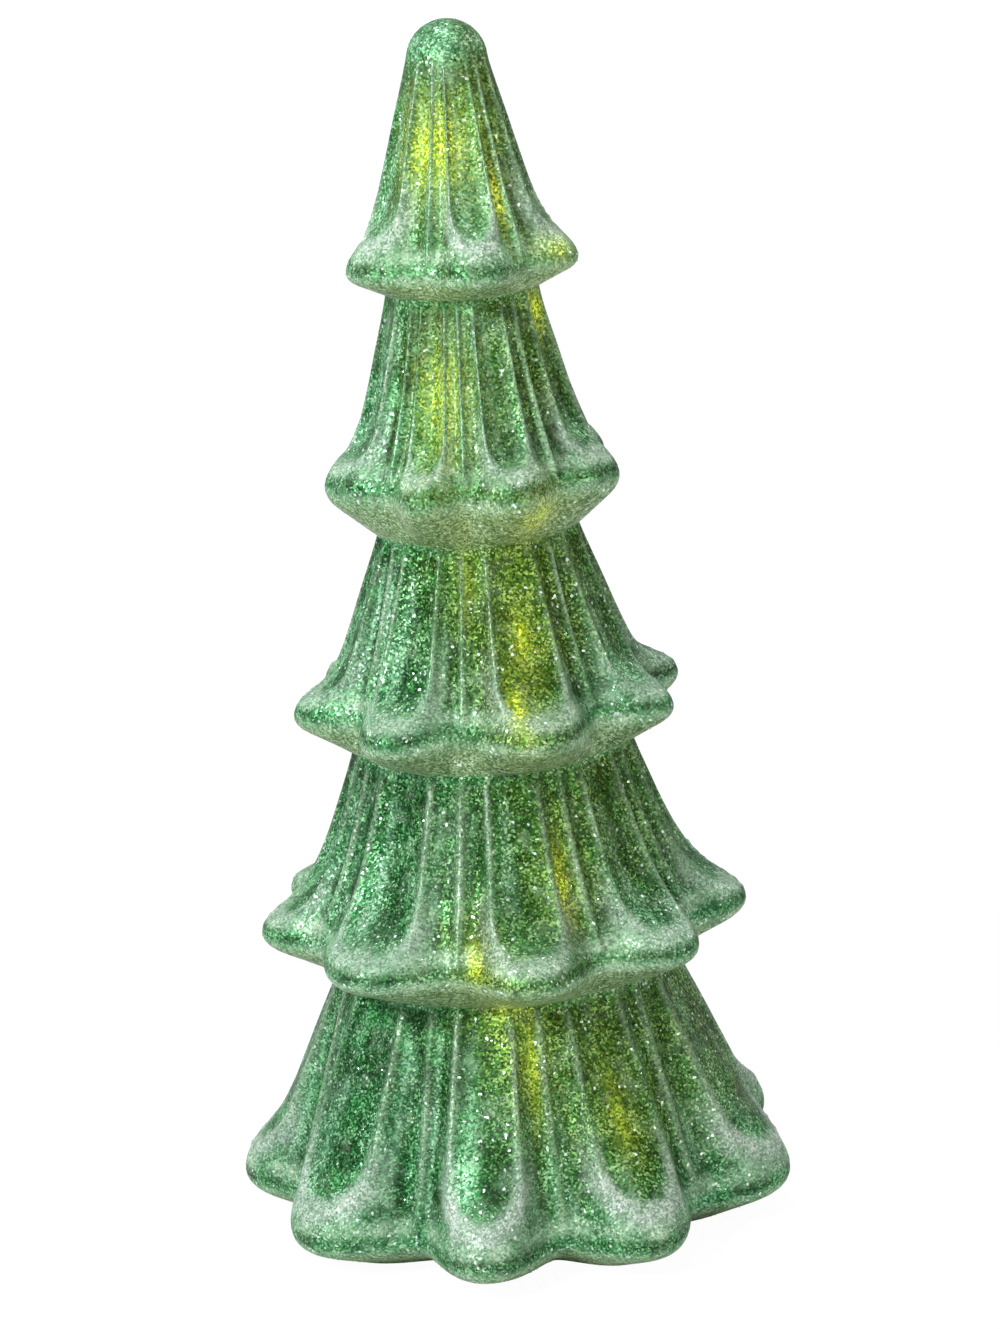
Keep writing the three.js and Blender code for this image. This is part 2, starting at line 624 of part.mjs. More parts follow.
function batteryDoor() {
  const plate = block(DOOR_WIDTH, DOOR_LENGTH, DOOR_THICKNESS, 0, 0, PAD_HEIGHT);
  const lug = lugShape(0, DOOR_THICKNESS, PAD_HEIGHT);
  const tongues = TONGUE_PLACES.map((x) =>
    block(
      TONGUE_WIDTH,
      2 * TONGUE_LENGTH,
      TONGUE_THICKNESS,
      x,
      -DOOR_LENGTH / 2,
      TONGUE_TOP - TONGUE_THICKNESS,
    ),
  );
  const hole = post(SCREW_RADIUS + HOLE_GAP, DOOR_TOP, 0, LUG_Y);
  const counterbore = post(SCREW_HEAD_RADIUS + HOLE_GAP, PAD_HEIGHT + COUNTERBORE_DEPTH, 0, LUG_Y);
  const grip = Array.from({ length: GRIP_RIBS }, (_, i) =>
    block(
      GRIP_RIB_LENGTH,
      GRIP_RIB_SIZE,
      PAD_HEIGHT + GRIP_RIB_SIZE,
      0,
      DOOR_LENGTH / 2 - (i + 2) * GRIP_RIB_SPACING,
    ),
  );
  return carve([plate, ...lug, ...tongues], [hole, counterbore, ...grip]);
}

addPiece("battery_door", batteryDoor(), DARK_PLASTIC);

// A slotted pan-head screw, head down, with its head's underside at height 0.
function screw(headRadius, headHeight, radius, length) {
  const head = post(headRadius, headHeight, 0, 0, -headHeight);
  const shank = post(radius, length + headHeight / 2, 0, 0, -headHeight / 2);
  const slotBottom = -headHeight - SCREW_SLOT_DEPTH;
  const slot = block(2 * headRadius, SCREW_SLOT_WIDTH, 2 * SCREW_SLOT_DEPTH, 0, 0, slotBottom);
  return carve([head, shank], [slot]);
}

const doorScrew = addPiece(
  "door_screw",
  screw(SCREW_HEAD_RADIUS, SCREW_HEAD_HEIGHT, SCREW_RADIUS, SCREW_LENGTH),
  SCREW_STEEL,
);
doorScrew.position.set(0, LUG_Y, PAD_HEIGHT - SCREW_HEAD_PROUD + SCREW_HEAD_HEIGHT);

// Cells: the middle one lies the other way round

for (let i = 0; i < CELLS; i++) {
  const side = i % 2 ? -1 : 1;
  const cell = addPiece(
    `battery_cell_${i + 1}`,
    turned(
      [
        [0, 0],
        [CELL_RADIUS, 0],
        [CELL_RADIUS, CELL_BODY_LENGTH],
        [NUB_RADIUS, CELL_BODY_LENGTH],
        [NUB_RADIUS, CELL_LENGTH],
        [0, CELL_LENGTH],
      ],
      CELL_SIDES,
    ),
    CELL_WRAP,
  );
  const springEnd = CONTACT_Y - CONTACT_THICKNESS / 2 - SPRING_LENGTH - TOUCH_GAP;
  cell.rotation.x = (-side * Math.PI) / 2;
  cell.position.set(i * CELL_SPACING - OUTER_CELL_X, -side * springEnd, CELL_HEIGHT);
}

// Contacts: flat plates for the nubs, springs for the flat ends

// A tapering spring that stands on a contact plate at the given end of the bay.
function spring(x, end) {
  const points = [];
  const steps = SPRING_TURNS * SPRING_STEPS;
  const plateFace = CONTACT_Y - CONTACT_THICKNESS / 2;
  const reach = SPRING_LENGTH - SPRING_WIRE_RADIUS;
  for (let i = 0; i <= steps; i++) {
    const share = i / steps;
    const angle = (2 * Math.PI * i) / SPRING_STEPS;
    const radius = mix(SPRING_FOOT_RADIUS, SPRING_TIP_RADIUS, share);
    points.push(
      new THREE.Vector3(
        x + radius * Math.cos(angle),
        end * (plateFace - reach * share),
        CELL_HEIGHT + radius * Math.sin(angle),
      ),
    );
  }
  return bar(new THREE.CatmullRomCurve3(points), SPRING_WIRE_RADIUS, SPRING_SIDES, steps);
}

// A contact at one end of the bay, for the cells at the given places.
function contact(end, places, springPlace, tail) {
  const first = Math.min(...places);
  const spread = Math.max(...places) - first;
  const plate = block(
    spread + CONTACT_SIZE,
    CONTACT_THICKNESS,
    CONTACT_SIZE,
    first + spread / 2,
    end * CONTACT_Y,
    CELL_HEIGHT - CONTACT_SIZE / 2,
  );
  const added = [plate];
  if (springPlace !== undefined) added.push(spring(springPlace, end));
  if (tail) {
    const rise = ROOF_TOP + CONTACT_TAIL_RISE - CELL_HEIGHT;
    added.push(block(CONTACT_TAIL_WIDTH, CONTACT_THICKNESS, rise, tail[0], tail[1], CELL_HEIGHT));
  }
  return carve(added);
}

addPiece("contact_positive", contact(1, [OUTER_CELL_X], undefined, TAILS.positive), NICKEL);
addPiece("contact_negative", contact(-1, [-OUTER_CELL_X], -OUTER_CELL_X, TAILS.negative), NICKEL);
addPiece("contact_bridge_front", contact(-1, [0, OUTER_CELL_X], OUTER_CELL_X), NICKEL);
addPiece("contact_bridge_back", contact(1, [-OUTER_CELL_X, 0], 0), NICKEL);

// Circuit board on two posts, with the slide switch under it

const boardHoles = BOARD_SCREW_PLACES.map((y) =>
  post(BOARD_SCREW_RADIUS + TOUCH_GAP, 2 * BOARD_TOP, BOARD_X, y),
);
const boardPlate = block(BOARD_WIDTH, BOARD_LENGTH, BOARD_THICKNESS, BOARD_X, 0, BOARD_BOTTOM);
addPiece("timer_board", carve([boardPlate], boardHoles), BOARD_GREEN);

BOARD_SCREW_PLACES.forEach((y, i) => {
  const boardScrew = addPiece(
    `board_screw_${i + 1}`,
    screw(
      BOARD_SCREW_HEAD_RADIUS,
      BOARD_SCREW_HEAD_HEIGHT,
      BOARD_SCREW_RADIUS,
      BOARD_SCREW_LENGTH - TOUCH_GAP,
    ),
    SCREW_STEEL,
  );
  boardScrew.rotation.x = Math.PI;
  boardScrew.position.set(BOARD_X, y, BOARD_TOP + TOUCH_GAP);
});

const FLANGE_BOTTOM = BASE_TOP + SLIDE_GAP;
const SWITCH_BOTTOM = FLANGE_BOTTOM + KNOB_FLANGE_THICKNESS + SLIDE_GAP;
const SWITCH_HEIGHT = BOARD_BOTTOM - TOUCH_GAP - SWITCH_BOTTOM;
addPiece(
  "switch_body",
  block(SWITCH_WIDTH, SWITCH_LENGTH, SWITCH_HEIGHT, BOARD_X, 0, SWITCH_BOTTOM),
  CHIP_BLACK,
);

// The knob is drawn at ON, one end of its travel.
const flange = block(KNOB_FLANGE_WIDTH, KNOB_FLANGE_LENGTH, KNOB_FLANGE_THICKNESS, 0, 0, FLANGE_BOTTOM);
const stemHeight = FLANGE_BOTTOM + KNOB_FLANGE_THICKNESS / 2 - KNOB_TABLE_GAP;
const stem = block(KNOB_STEM, KNOB_STEM, stemHeight, 0, 0, KNOB_TABLE_GAP);
const knob = addPiece("switch_knob", carve([flange, stem]), CHIP_BLACK);
knob.position.set(BOARD_X, KNOB_REST_Y, 0);

const chip = addPiece("timer_chip", block(...CHIP_SIZE), CHIP_BLACK);
chip.position.set(BOARD_X, CHIP_Y, BOARD_TOP);

const crystal = addPiece("crystal_can", post(CRYSTAL_RADIUS, CRYSTAL_LENGTH), NICKEL);
crystal.rotation.y = Math.PI / 2;
crystal.position.set(BOARD_X - CRYSTAL_LENGTH / 2, CRYSTAL_Y, BOARD_TOP + CRYSTAL_RADIUS + TOUCH_GAP);

// Leads from the contacts' tails over the bay's roof to the board

const TAIL_TOP = ROOF_TOP + CONTACT_TAIL_RISE;
const LEAD_HEIGHT = TAIL_TOP + LEAD_CLIMB + LEAD_ARCH;
const LEAD_END_X = BOARD_X - BOARD_WIDTH / 2 + LEAD_INSET;
const LEAD_END_Y = BOARD_SCREW_SPACING / 2 - BOARD_SCREW_HEAD_RADIUS - 2 * LEAD_RADIUS;

// A lead from a tail to the board, by way of the places between them.
function lead([x, y], between, endY) {
  const end = new THREE.Vector3(LEAD_END_X, endY, BOARD_TOP + TOUCH_GAP);
  const points = [
    new THREE.Vector3(x, y, TAIL_TOP + TOUCH_GAP),
    new THREE.Vector3(x, y, TAIL_TOP + LEAD_CLIMB),
    ...between.map((place) => new THREE.Vector3(...place)),
    end.clone().setZ(BOARD_TOP + LEAD_DROP),
    end,
  ];
  return bar(new THREE.CatmullRomCurve3(points), LEAD_RADIUS, LEAD_SIDES, LEAD_STEPS);
}

// Down over the edge of the bay's roof, near the given end of the bay.
function overEdge(end, [startY, endY]) {
  return [
    [BAY_SIDE - LEAD_EDGE_SETBACK, end * (BAY_END - startY), LEAD_HEIGHT],
    [BAY_SIDE + LEAD_EDGE_REACH, end * (BAY_END - endY), ROOF_TOP - LEAD_EDGE_DROP],
  ];
}

const redBetween = overEdge(1, RED_EDGE_Y);
addPiece("battery_lead_red", lead(TAILS.positive, redBetween, LEAD_END_Y), LEAD_RED);

const blackBetween = [[0, BLACK_CROSSING_Y - BAY_END, LEAD_HEIGHT], ...overEdge(-1, BLACK_EDGE_Y)];
addPiece("battery_lead_black", lead(TAILS.negative, blackBetween, -LEAD_END_Y), LEAD_BLACK);

// Light string: from the board up through the glass in one loose coil, close to the glass at each neck

const COIL_TOP = TOP_TIER.neckHeight - COIL_TOP_DROP;
const COIL_KNOTS = [
  [COIL_START_HEIGHT, BASE_RADIUS - COIL_INSET],
  ...TIERS.slice(0, -1).map((tier) => [
    tier.neckHeight,
    tier.neckRadius - GLASS_WALL - GROOVE_DEPTH * NECK_GROOVE_SHARE - WIRE_RADIUS - COIL_CLEARANCE,
  ]),
  [COIL_TOP, COIL_TOP_RADIUS],
];
const WIRE_X = BOARD_X + BOARD_WIDTH / 2 - LEAD_INSET;
const COIL_START_ANGLE = Math.atan2(WIRE_Y, WIRE_X);

// The coil's radius at a height, on straight stretches between the necks.
function coilRadius(height) {
  const next = Math.max(1, COIL_KNOTS.findIndex((knot) => knot[0] >= height));
  const [lowHeight, lowRadius] = COIL_KNOTS[next - 1];
  const [highHeight, highRadius] = COIL_KNOTS[next];
  return mix(lowRadius, highRadius, (height - lowHeight) / (highHeight - lowHeight));
}

// The place on the coil after some turns.
function coilPlace(turn) {
  const height = mix(COIL_START_HEIGHT, COIL_TOP, turn / COIL_TURNS);
  const radius = coilRadius(height);
  const angle = COIL_START_ANGLE + 2 * Math.PI * turn;
  return new THREE.Vector3(radius * Math.cos(angle), radius * Math.sin(angle), height);
}

const coilSteps = Math.round(COIL_TURNS * COIL_STEPS);
const coilPoints = Array.from({ length: coilSteps + 1 }, (_, i) => coilPlace((COIL_TURNS * i) / coilSteps));
const wireStart = new THREE.Vector3(WIRE_X, WIRE_Y, BOARD_TOP + TOUCH_GAP);
const wireRise = wireStart.clone().setZ((BOARD_TOP + COIL_START_HEIGHT) / 2);
const wireCurve = new THREE.CatmullRomCurve3([wireStart, wireRise, ...coilPoints]);
const wireSteps = coilSteps + COIL_STEPS / 2;
addPiece("light_string_wire", bar(wireCurve, WIRE_RADIUS, WIRE_SIDES, wireSteps), COPPER_WIRE);

// The least gap between two turns of the coil, from points half a turn or more apart.
let leastGap = Infinity;
for (let i = 0; i < coilPoints.length; i++)
  for (let j = i + Math.floor(COIL_STEPS / 2); j < coilPoints.length; j++)
    leastGap = Math.min(leastGap, coilPoints[i].distanceTo(coilPoints[j]) - 2 * WIRE_RADIUS);
console.log(`least gap between turns of the light string: ${leastGap.toFixed(2)} mm`);

// The middle of the wire where it passes nearest to a place.
const wireLine = wireCurve.getSpacedPoints(wireSteps);
function nearestOnWire(place) {
  let nearest = wireLine[0];
  for (let i = 1; i < wireLine.length; i++) {
    const stretch = new THREE.Line3(wireLine[i - 1], wireLine[i]);
    const point = stretch.closestPointToPoint(place, true, new THREE.Vector3());
    if (point.distanceTo(place) < nearest.distanceTo(place)) nearest = point;
  }
  return nearest;
}

// Each lamp hangs on the inner side of the wire.
LAMP_TURNS.forEach((turn, i) => {
  const lamp = addPiece(
    `led_${String(i + 1).padStart(2, "0")}`,
    new THREE.SphereGeometry(LAMP_RADIUS, 8, 5),
    LAMP_CLEAR,
  );
  const place = nearestOnWire(coilPlace(turn));
  const inward = new THREE.Vector3(-place.x, -place.y, 0).normalize();
  lamp.position.copy(place.addScaledVector(inward, WIRE_RADIUS + TOUCH_GAP + LAMP_RADIUS));
});

export default tree;
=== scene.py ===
"""Light-up glass Christmas tree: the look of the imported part, its floor, light and camera.

Metres in the part's own frame, +Z up, front towards -Y. The glass's sizes are in millimetres.
"""

import math

import bpy
import numpy as np
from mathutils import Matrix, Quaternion, Vector


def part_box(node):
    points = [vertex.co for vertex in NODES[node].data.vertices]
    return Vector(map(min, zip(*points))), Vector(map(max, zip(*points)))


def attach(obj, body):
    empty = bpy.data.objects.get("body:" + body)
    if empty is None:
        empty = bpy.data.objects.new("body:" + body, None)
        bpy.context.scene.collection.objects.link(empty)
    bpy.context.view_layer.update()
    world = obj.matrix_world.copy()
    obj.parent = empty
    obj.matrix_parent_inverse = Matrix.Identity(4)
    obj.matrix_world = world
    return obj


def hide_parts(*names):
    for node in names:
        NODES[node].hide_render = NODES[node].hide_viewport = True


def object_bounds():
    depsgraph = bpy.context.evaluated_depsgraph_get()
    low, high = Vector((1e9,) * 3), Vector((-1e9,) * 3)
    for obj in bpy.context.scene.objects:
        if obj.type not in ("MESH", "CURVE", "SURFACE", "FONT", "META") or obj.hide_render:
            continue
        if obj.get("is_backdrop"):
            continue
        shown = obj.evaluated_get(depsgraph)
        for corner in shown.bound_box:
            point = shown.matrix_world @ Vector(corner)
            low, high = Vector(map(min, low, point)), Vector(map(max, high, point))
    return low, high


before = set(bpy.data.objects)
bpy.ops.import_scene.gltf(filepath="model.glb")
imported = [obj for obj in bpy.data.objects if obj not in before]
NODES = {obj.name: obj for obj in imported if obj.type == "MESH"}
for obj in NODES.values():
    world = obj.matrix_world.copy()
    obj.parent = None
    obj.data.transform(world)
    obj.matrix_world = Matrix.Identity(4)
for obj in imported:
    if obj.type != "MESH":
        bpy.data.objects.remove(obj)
CAD_LOW, CAD_HIGH = (np.array(corner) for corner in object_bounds())
MM = 0.001
SCENE = bpy.context.scene
RNG = np.random.default_rng(2512)

# Camera, fitted to the photograph's outline

PHOTO_HEIGHT = 1329
CAMERA_AT = Vector((0, -0.973, 0.4240))
CAMERA_TARGET = Vector((0, 0, 0.1427))
CAMERA_ROLL = math.radians(-3.82)
FOCAL_PIXELS = 4067
SHIFT_PIXELS = 12.8
SENSOR = 36
NEAR, FAR = 0.05, 20

camera_data = bpy.data.cameras.new("camera")
camera_data.sensor_width = SENSOR
camera_data.lens = FOCAL_PIXELS / PHOTO_HEIGHT * SENSOR
camera_data.shift_x = SHIFT_PIXELS / PHOTO_HEIGHT
camera_data.clip_start = NEAR
camera_data.clip_end = FAR
camera = bpy.data.objects.new("camera", camera_data)
camera.location = CAMERA_AT
camera.rotation_mode = "QUATERNION"
aim = (CAMERA_TARGET - CAMERA_AT).to_track_quat("-Z", "Y")
camera.rotation_quaternion = aim @ Quaternion((0, 0, 1), CAMERA_ROLL)
SCENE.collection.objects.link(camera)
SCENE.camera = camera


# Materials

COLOUR_A, COLOUR_B, COLOUR_RESULT = 6, 7, 2  # a Mix node's sockets when it mixes colours


class Look:
    """A material with one principled shader, whose sockets take plain values or nodes' outputs."""

    def __init__(self, name, **sockets):
        self.material = bpy.data.materials.new(name)
        self.material.use_nodes = True
        self.tree = self.material.node_tree
        self.shader = self.tree.nodes["Principled BSDF"]
        self.place = self.node("TexCoord").outputs["Object"]
        self.set(**sockets)

    def node(self, kind, *inputs, **settings):
        """A node with its settings. Inputs are filled in order, and None leaves one as it is."""
        made = self.tree.nodes.new(f"ShaderNode{kind}")
        for name, value in settings.items():
            setattr(made, name, value)
        for socket, value in zip(made.inputs, inputs):
            self.fill(socket, value)
        return made

    def fill(self, socket, value):
        if value is None:
            return
        if isinstance(value, bpy.types.NodeSocket):
            self.tree.links.new(value, socket)
        elif socket.type == "RGBA":
            socket.default_value = (*value, 1)
        else:
            socket.default_value = value

    def set(self, **sockets):
        """Fills the shader's sockets, named with an underscore for each space."""
        for name, value in sockets.items():
            self.fill(self.shader.inputs[name.replace("_", " ")], value)
        return self

    def math(self, operation, *values, clamp=False):
        return self.node("Math", *values, operation=operation, use_clamp=clamp).outputs[0]

    def attribute(self, name):
        return self.node("Attribute", attribute_name=name).outputs["Fac"]

    def mix(self, factor, first, second):
        """One colour over another."""
        made = self.node("Mix", data_type="RGBA")
        self.fill(made.inputs["Factor"], factor)
        self.fill(made.inputs[COLOUR_A], first)
        self.fill(made.inputs[COLOUR_B], second)
        return made.outputs[COLOUR_RESULT]

    def ramp(self, factor, *stops, interpolation="LINEAR"):
        """A colour ramp from (place, colour) stops."""
        made = self.node("ValToRGB", factor)
        made.color_ramp.interpolation = interpolation
        elements = made.color_ramp.elements
        while len(elements) < len(stops):
            elements.new(1)
        for element, (place, colour) in zip(elements, stops):
            element.position = place
            element.color = (*colour, 1)
        return made.outputs["Color"]

    def noise(self, size, detail=2, roughness=0.5):
        """Soft noise with blotches of a size in metres."""
        made = self.node("TexNoise", self.place)
        made.inputs["Scale"].default_value = 1 / size
        made.inputs["Detail"].default_value = detail
        made.inputs["Roughness"].default_value = roughness
        return made.outputs["Fac"]

    def grains(self, size):
        """Three random numbers for each grain of a size in metres, and all three as one vector."""
        made = self.node("TexVoronoi", self.place)
        made.inputs["Scale"].default_value = 1 / size
        parts = self.node("SeparateColor", made.outputs["Color"])
        return [*parts.outputs, made.outputs["Color"]]

    def bump(self, height, depth, strength=1.0):
        made = self.node("Bump")
        made.inputs["Strength"].default_value = strength
        made.inputs["Distance"].default_value = depth
        self.fill(made.inputs["Height"], height)
        return made.outputs["Normal"]


# Glass: the same rules and sizes as the part's own glass, with finer steps, grooves that end in a U
# and beads along the grooves

TREE_HEIGHT = 303.2
TREE_RADIUS = 74.2
BASE_RADIUS = 40
GLASS_WALL = 3.2
FOOT_LIFT = 0.8
MOUTH_RADIUS = BASE_RADIUS + 2.2
MOUTH_HEIGHT = 4.4
FOOT_VALLEY_RADIUS = MOUTH_RADIUS + 2.8
FOOT_TIP_RADIUS = MOUTH_RADIUS + 13.8
DOME_SHARE = 0.132  # of the tree's radius
DOME_RADIUS = DOME_SHARE * TREE_RADIUS
DOME_HALF_ANGLE = math.radians(13)


class Tier:
    """One tier of lobes.

    valleys: the turns of the valleys between its lobes, in degrees
    heights: of its underside and its wall, as shares of the tree's height
    radii: of its neck, its lobes' tips and its valleys, as shares of the tree's radius
    flare: how much of the wall's slope is straight, and the power of the rest's curve
    spoon_end: how far down the wall the wide grooves reach
    snow: how thick the snow lies round the grooves' ends
    """

    def __init__(self, valleys, heights, radii, flare, spoon_end, snow):
        self.valleys = valleys
        self.underside, self.wall = (share * TREE_HEIGHT for share in heights)
        self.neck, self.tip, self.valley = (share * TREE_RADIUS for share in radii)
        self.straight, self.flare = flare
        self.spoon_end = spoon_end
        self.snow = snow


DOME_NECK = DOME_SHARE * math.cos(DOME_HALF_ANGLE)
TIERS = [
    Tier(
        valleys=[-164, -117, -81, -42, 6, 44, 82, 120, 158],
        heights=(0.0264, 0.1920),
        radii=(0.5674, 1, 0.8086),
        flare=(0.97, 10),
        spoon_end=0.84,
        snow=0.9,
    ),
    Tier(
        valleys=[-155, -104, -63, -24, 18, 56, 94, 132, 169],
        heights=(0.0369, 0.1511),
        radii=(0.4677, 0.9003, 0.7075),
        flare=(0.53, 5.5),
        spoon_end=0.91,
        snow=0.5,
    ),
    Tier(
        valleys=[-149, -101, -46, -5, 33, 77, 122, 167],
        heights=(0.0369, 0.1428),
        radii=(0.3342, 0.7251, 0.5094),
        flare=(0.64, 10.5),
        spoon_end=0.91,
        snow=0.4,
    ),
    Tier(
        valleys=[-132, -95, -50, 4, 66, 114, 160],
        heights=(0.0485, 0.1481),
        radii=(0.2520, 0.5606, 0.4313),
        flare=(0.5, 9),
        spoon_end=0.90,
        snow=0.5,
    ),
    Tier(
        valleys=[-111, -48, 36, 96, 152],
        heights=(0.0211, 0.1685),
        radii=(DOME_NECK, 0.4313, 0.3167),
        flare=(0.65, 11),
        spoon_end=0.85,
        snow=0.8,
    ),
]
VALLEY_FLARE_POWER = 2
LOBE_SHARPNESS = 0.8

# The rounded rim, as shares of the wall above it and of the underside below it
ROUND_FROM_WALL = 0.85
ROUND_TO_UNDERSIDE = 0.4

# The hollow lies inside the outer wall by these many walls at the tips and in the valleys, and by
# so many mm more
TIP_INSET = 2.2
VALLEY_INSET = 1.6
HOLLOW_INSET = 1.1

# Grooves: widths across a lobe as shares of half a lobe, lengths down the wall as shares of it
GROOVE_EDGE = 0.5
GROOVE_DEPTH = 3
NARROW_GROOVE_DEPTH = 1.9
NECK_GROOVE_SHARE = 0.5
GROOVE_FULL_FROM = 0.4
GROOVE_FADE_FROM = 0.84
SPOON_ROUND = 0.2  # the length of a wide groove's rounded end
RIM_FADE = (0.3, 0.7)  # where on the rounded rim the grooves fade out
BEAD_HEIGHT = 0.5
BEAD_WIDTH = 0.1

LEAST_RADIUS = 0.05  # of the ring that closes the top
OFF_GROOVES = 2  # a spoon place well outside any wide groove

COLUMNS = 420
HOLLOW_COLUMNS = 84
WALL_ROWS = 26
ROUND_ROWS = 10
UNDER_ROWS = 4
DOME_ROWS = 12
HOLLOW_ROWS = 8

height = FOOT_LIFT
for tier in TIERS:
    tier.base_z = height
    tier.rim_z = height + tier.underside
    tier.neck_z = height = tier.rim_z + tier.wall
TOP_TIER = TIERS[-1]
LAMP_NAMES = [f"led_{i:02d}" for i in range(1, 21)]
DOME_CENTRE = TOP_TIER.neck_z - DOME_RADIUS * math.sin(DOME_HALF_ANGLE)
ANGLES = np.arange(COLUMNS) * 360 / COLUMNS
HOLLOW_ANGLES = np.arange(HOLLOW_COLUMNS) * 360 / HOLLOW_COLUMNS


def blend(a, b, share):
    return a + (b - a) * share


def smooth(value, low, high):
    """From 0 at low to 1 at high, with soft ends."""
    share = np.clip((value - low) / (high - low), 0, 1)
    return share * share * (3 - 2 * share)


def across_lobe(tier, angles=ANGLES):
    """For each angle, its place in its lobe: 0 at the middle, -1 and 1 in the valleys."""
    valleys = np.array([*tier.valleys, tier.valleys[0] + 360])
    turn = (angles - valleys[0]) % 360 + valleys[0]
    lobe = np.searchsorted(valleys, turn, "right") - 1
    share = (turn - valleys[lobe]) / (valleys[lobe + 1] - valleys[lobe])
    return 2 * share - 1


def spoon_place(tier, level, across):
    """0 in the middle of a lobe's wide groove, 1 on the ridge that runs round it in a U."""
    past = np.maximum(0, level - tier.spoon_end + SPOON_ROUND) / SPOON_ROUND
    return np.hypot(across / GROOVE_EDGE, past)


def groove_depth(tier, down, across):
    """How far the grooves cut in, in mm."""
    wide = GROOVE_DEPTH * np.clip(1 - spoon_place(tier, down, across) ** 2, 0, 1)
    half = (1 - GROOVE_EDGE) / 2
    narrow = NARROW_GROOVE_DEPTH * (1 - ((np.abs(across) - 1 + half) / half) ** 2)
    narrow *= 1 - smooth(down, GROOVE_FADE_FROM, 1)
    neck_share = 0 if tier is TOP_TIER else NECK_GROOVE_SHARE
    growth = blend(neck_share, 1, min(1, down / GROOVE_FULL_FROM))
    return growth * np.where(np.abs(across) < GROOVE_EDGE, wide, narrow)


def wall_point(tier, corner, power, down):
    bulge = tier.straight * down + (1 - tier.straight) * down**power
    return np.array([blend(tier.neck, corner, bulge), blend(tier.neck_z, tier.rim_z, down)])


def round_point(tier, corner, power, base, share):
    start = wall_point(tier, corner, power, ROUND_FROM_WALL)
    middle = np.array([corner, tier.rim_z])
    end = blend(middle, np.array([base, tier.base_z]), ROUND_TO_UNDERSIDE)
    return blend(blend(start, middle, share), blend(middle, end, share), share)


def bead_height(tier, down, across):
    """How far the narrow beads stand out along the grooves' edges and the valleys, in mm."""
    edge = (spoon_place(tier, down, across) - 1) / BEAD_WIDTH
    valley = (np.abs(across) - 1) / BEAD_WIDTH
    bead = np.exp(-(edge**2)) + np.exp(-(valley**2)) * (1 - smooth(down, GROOVE_FADE_FROM, 1))
    return BEAD_HEIGHT * smooth(down, 0, GROOVE_FULL_FROM) * bead


def lobe_share(across):
    """How far a lobe stands out: 1 at its middle, 0 in the valleys."""
    return (0.5 + 0.5 * np.cos(np.pi * across)) ** LOBE_SHARPNESS


def outer_rings(tier, below):
    """The rings of a tier's outside from its neck down, as (level, snow, spoon place, across,
    radius, height), with the level 0 at the neck, 1 at the rim's corner and 2 at the neck or foot
    below."""
    across = across_lobe(tier)
    lobe = lobe_share(across)
    tip_base = below.neck if below else FOOT_TIP_RADIUS
    valley_base = below.neck if below else FOOT_VALLEY_RADIUS
    rings = []

    def add(level, tip, valley, groove=0):
        radius = blend(valley[0], tip[0], lobe) - groove
        place = spoon_place(tier, level, across)
        rings.append((level, tier.snow, place, across, radius, blend(valley[1], tip[1], lobe)))

    for down in np.linspace(0, ROUND_FROM_WALL, WALL_ROWS):
        tip = wall_point(tier, tier.tip, tier.flare, down)
        valley = wall_point(tier, tier.valley, VALLEY_FLARE_POWER, down)
        add(down, tip, valley, groove_depth(tier, down, across) - bead_height(tier, down, across))
    for share in np.linspace(0, 1, ROUND_ROWS)[1:]:
        tip = round_point(tier, tier.tip, tier.flare, tip_base, share)
        valley = round_point(tier, tier.valley, VALLEY_FLARE_POWER, valley_base, share)
        level = blend(ROUND_FROM_WALL, 1 + ROUND_TO_UNDERSIDE, share)
        down = blend(ROUND_FROM_WALL, 1, min(1, share / RIM_FADE[1]))
        relief = groove_depth(tier, down, across) - bead_height(tier, down, across)
        add(level, tip, valley, relief * (1 - smooth(share, *RIM_FADE)))
    tip_end, valley_end = tip, valley
    for share in np.linspace(0, 1, UNDER_ROWS + 1)[1 : None if not below else -1]:
        foot = np.array([tip_base, tier.base_z]), np.array([valley_base, tier.base_z])
        level = blend(1 + ROUND_TO_UNDERSIDE, 2, share)
        add(level, blend(tip_end, foot[0], share), blend(valley_end, foot[1], share))
    return rings


def outside_rings():
    """All rings of the outside, from the tip down to the foot."""
    plain = np.ones(COLUMNS)
    rings = []
    for rise in np.linspace(math.pi / 2, DOME_HALF_ANGLE, DOME_ROWS + 1)[:-1]:
        radius = max(DOME_RADIUS * math.cos(rise), LEAST_RADIUS)
        up = DOME_CENTRE + DOME_RADIUS * math.sin(rise)
        rings.append((0, 0, OFF_GROOVES * plain, plain, radius * plain, up))
    for i in reversed(range(len(TIERS))):
        rings += outer_rings(TIERS[i], TIERS[i - 1] if i else None)
    return rings


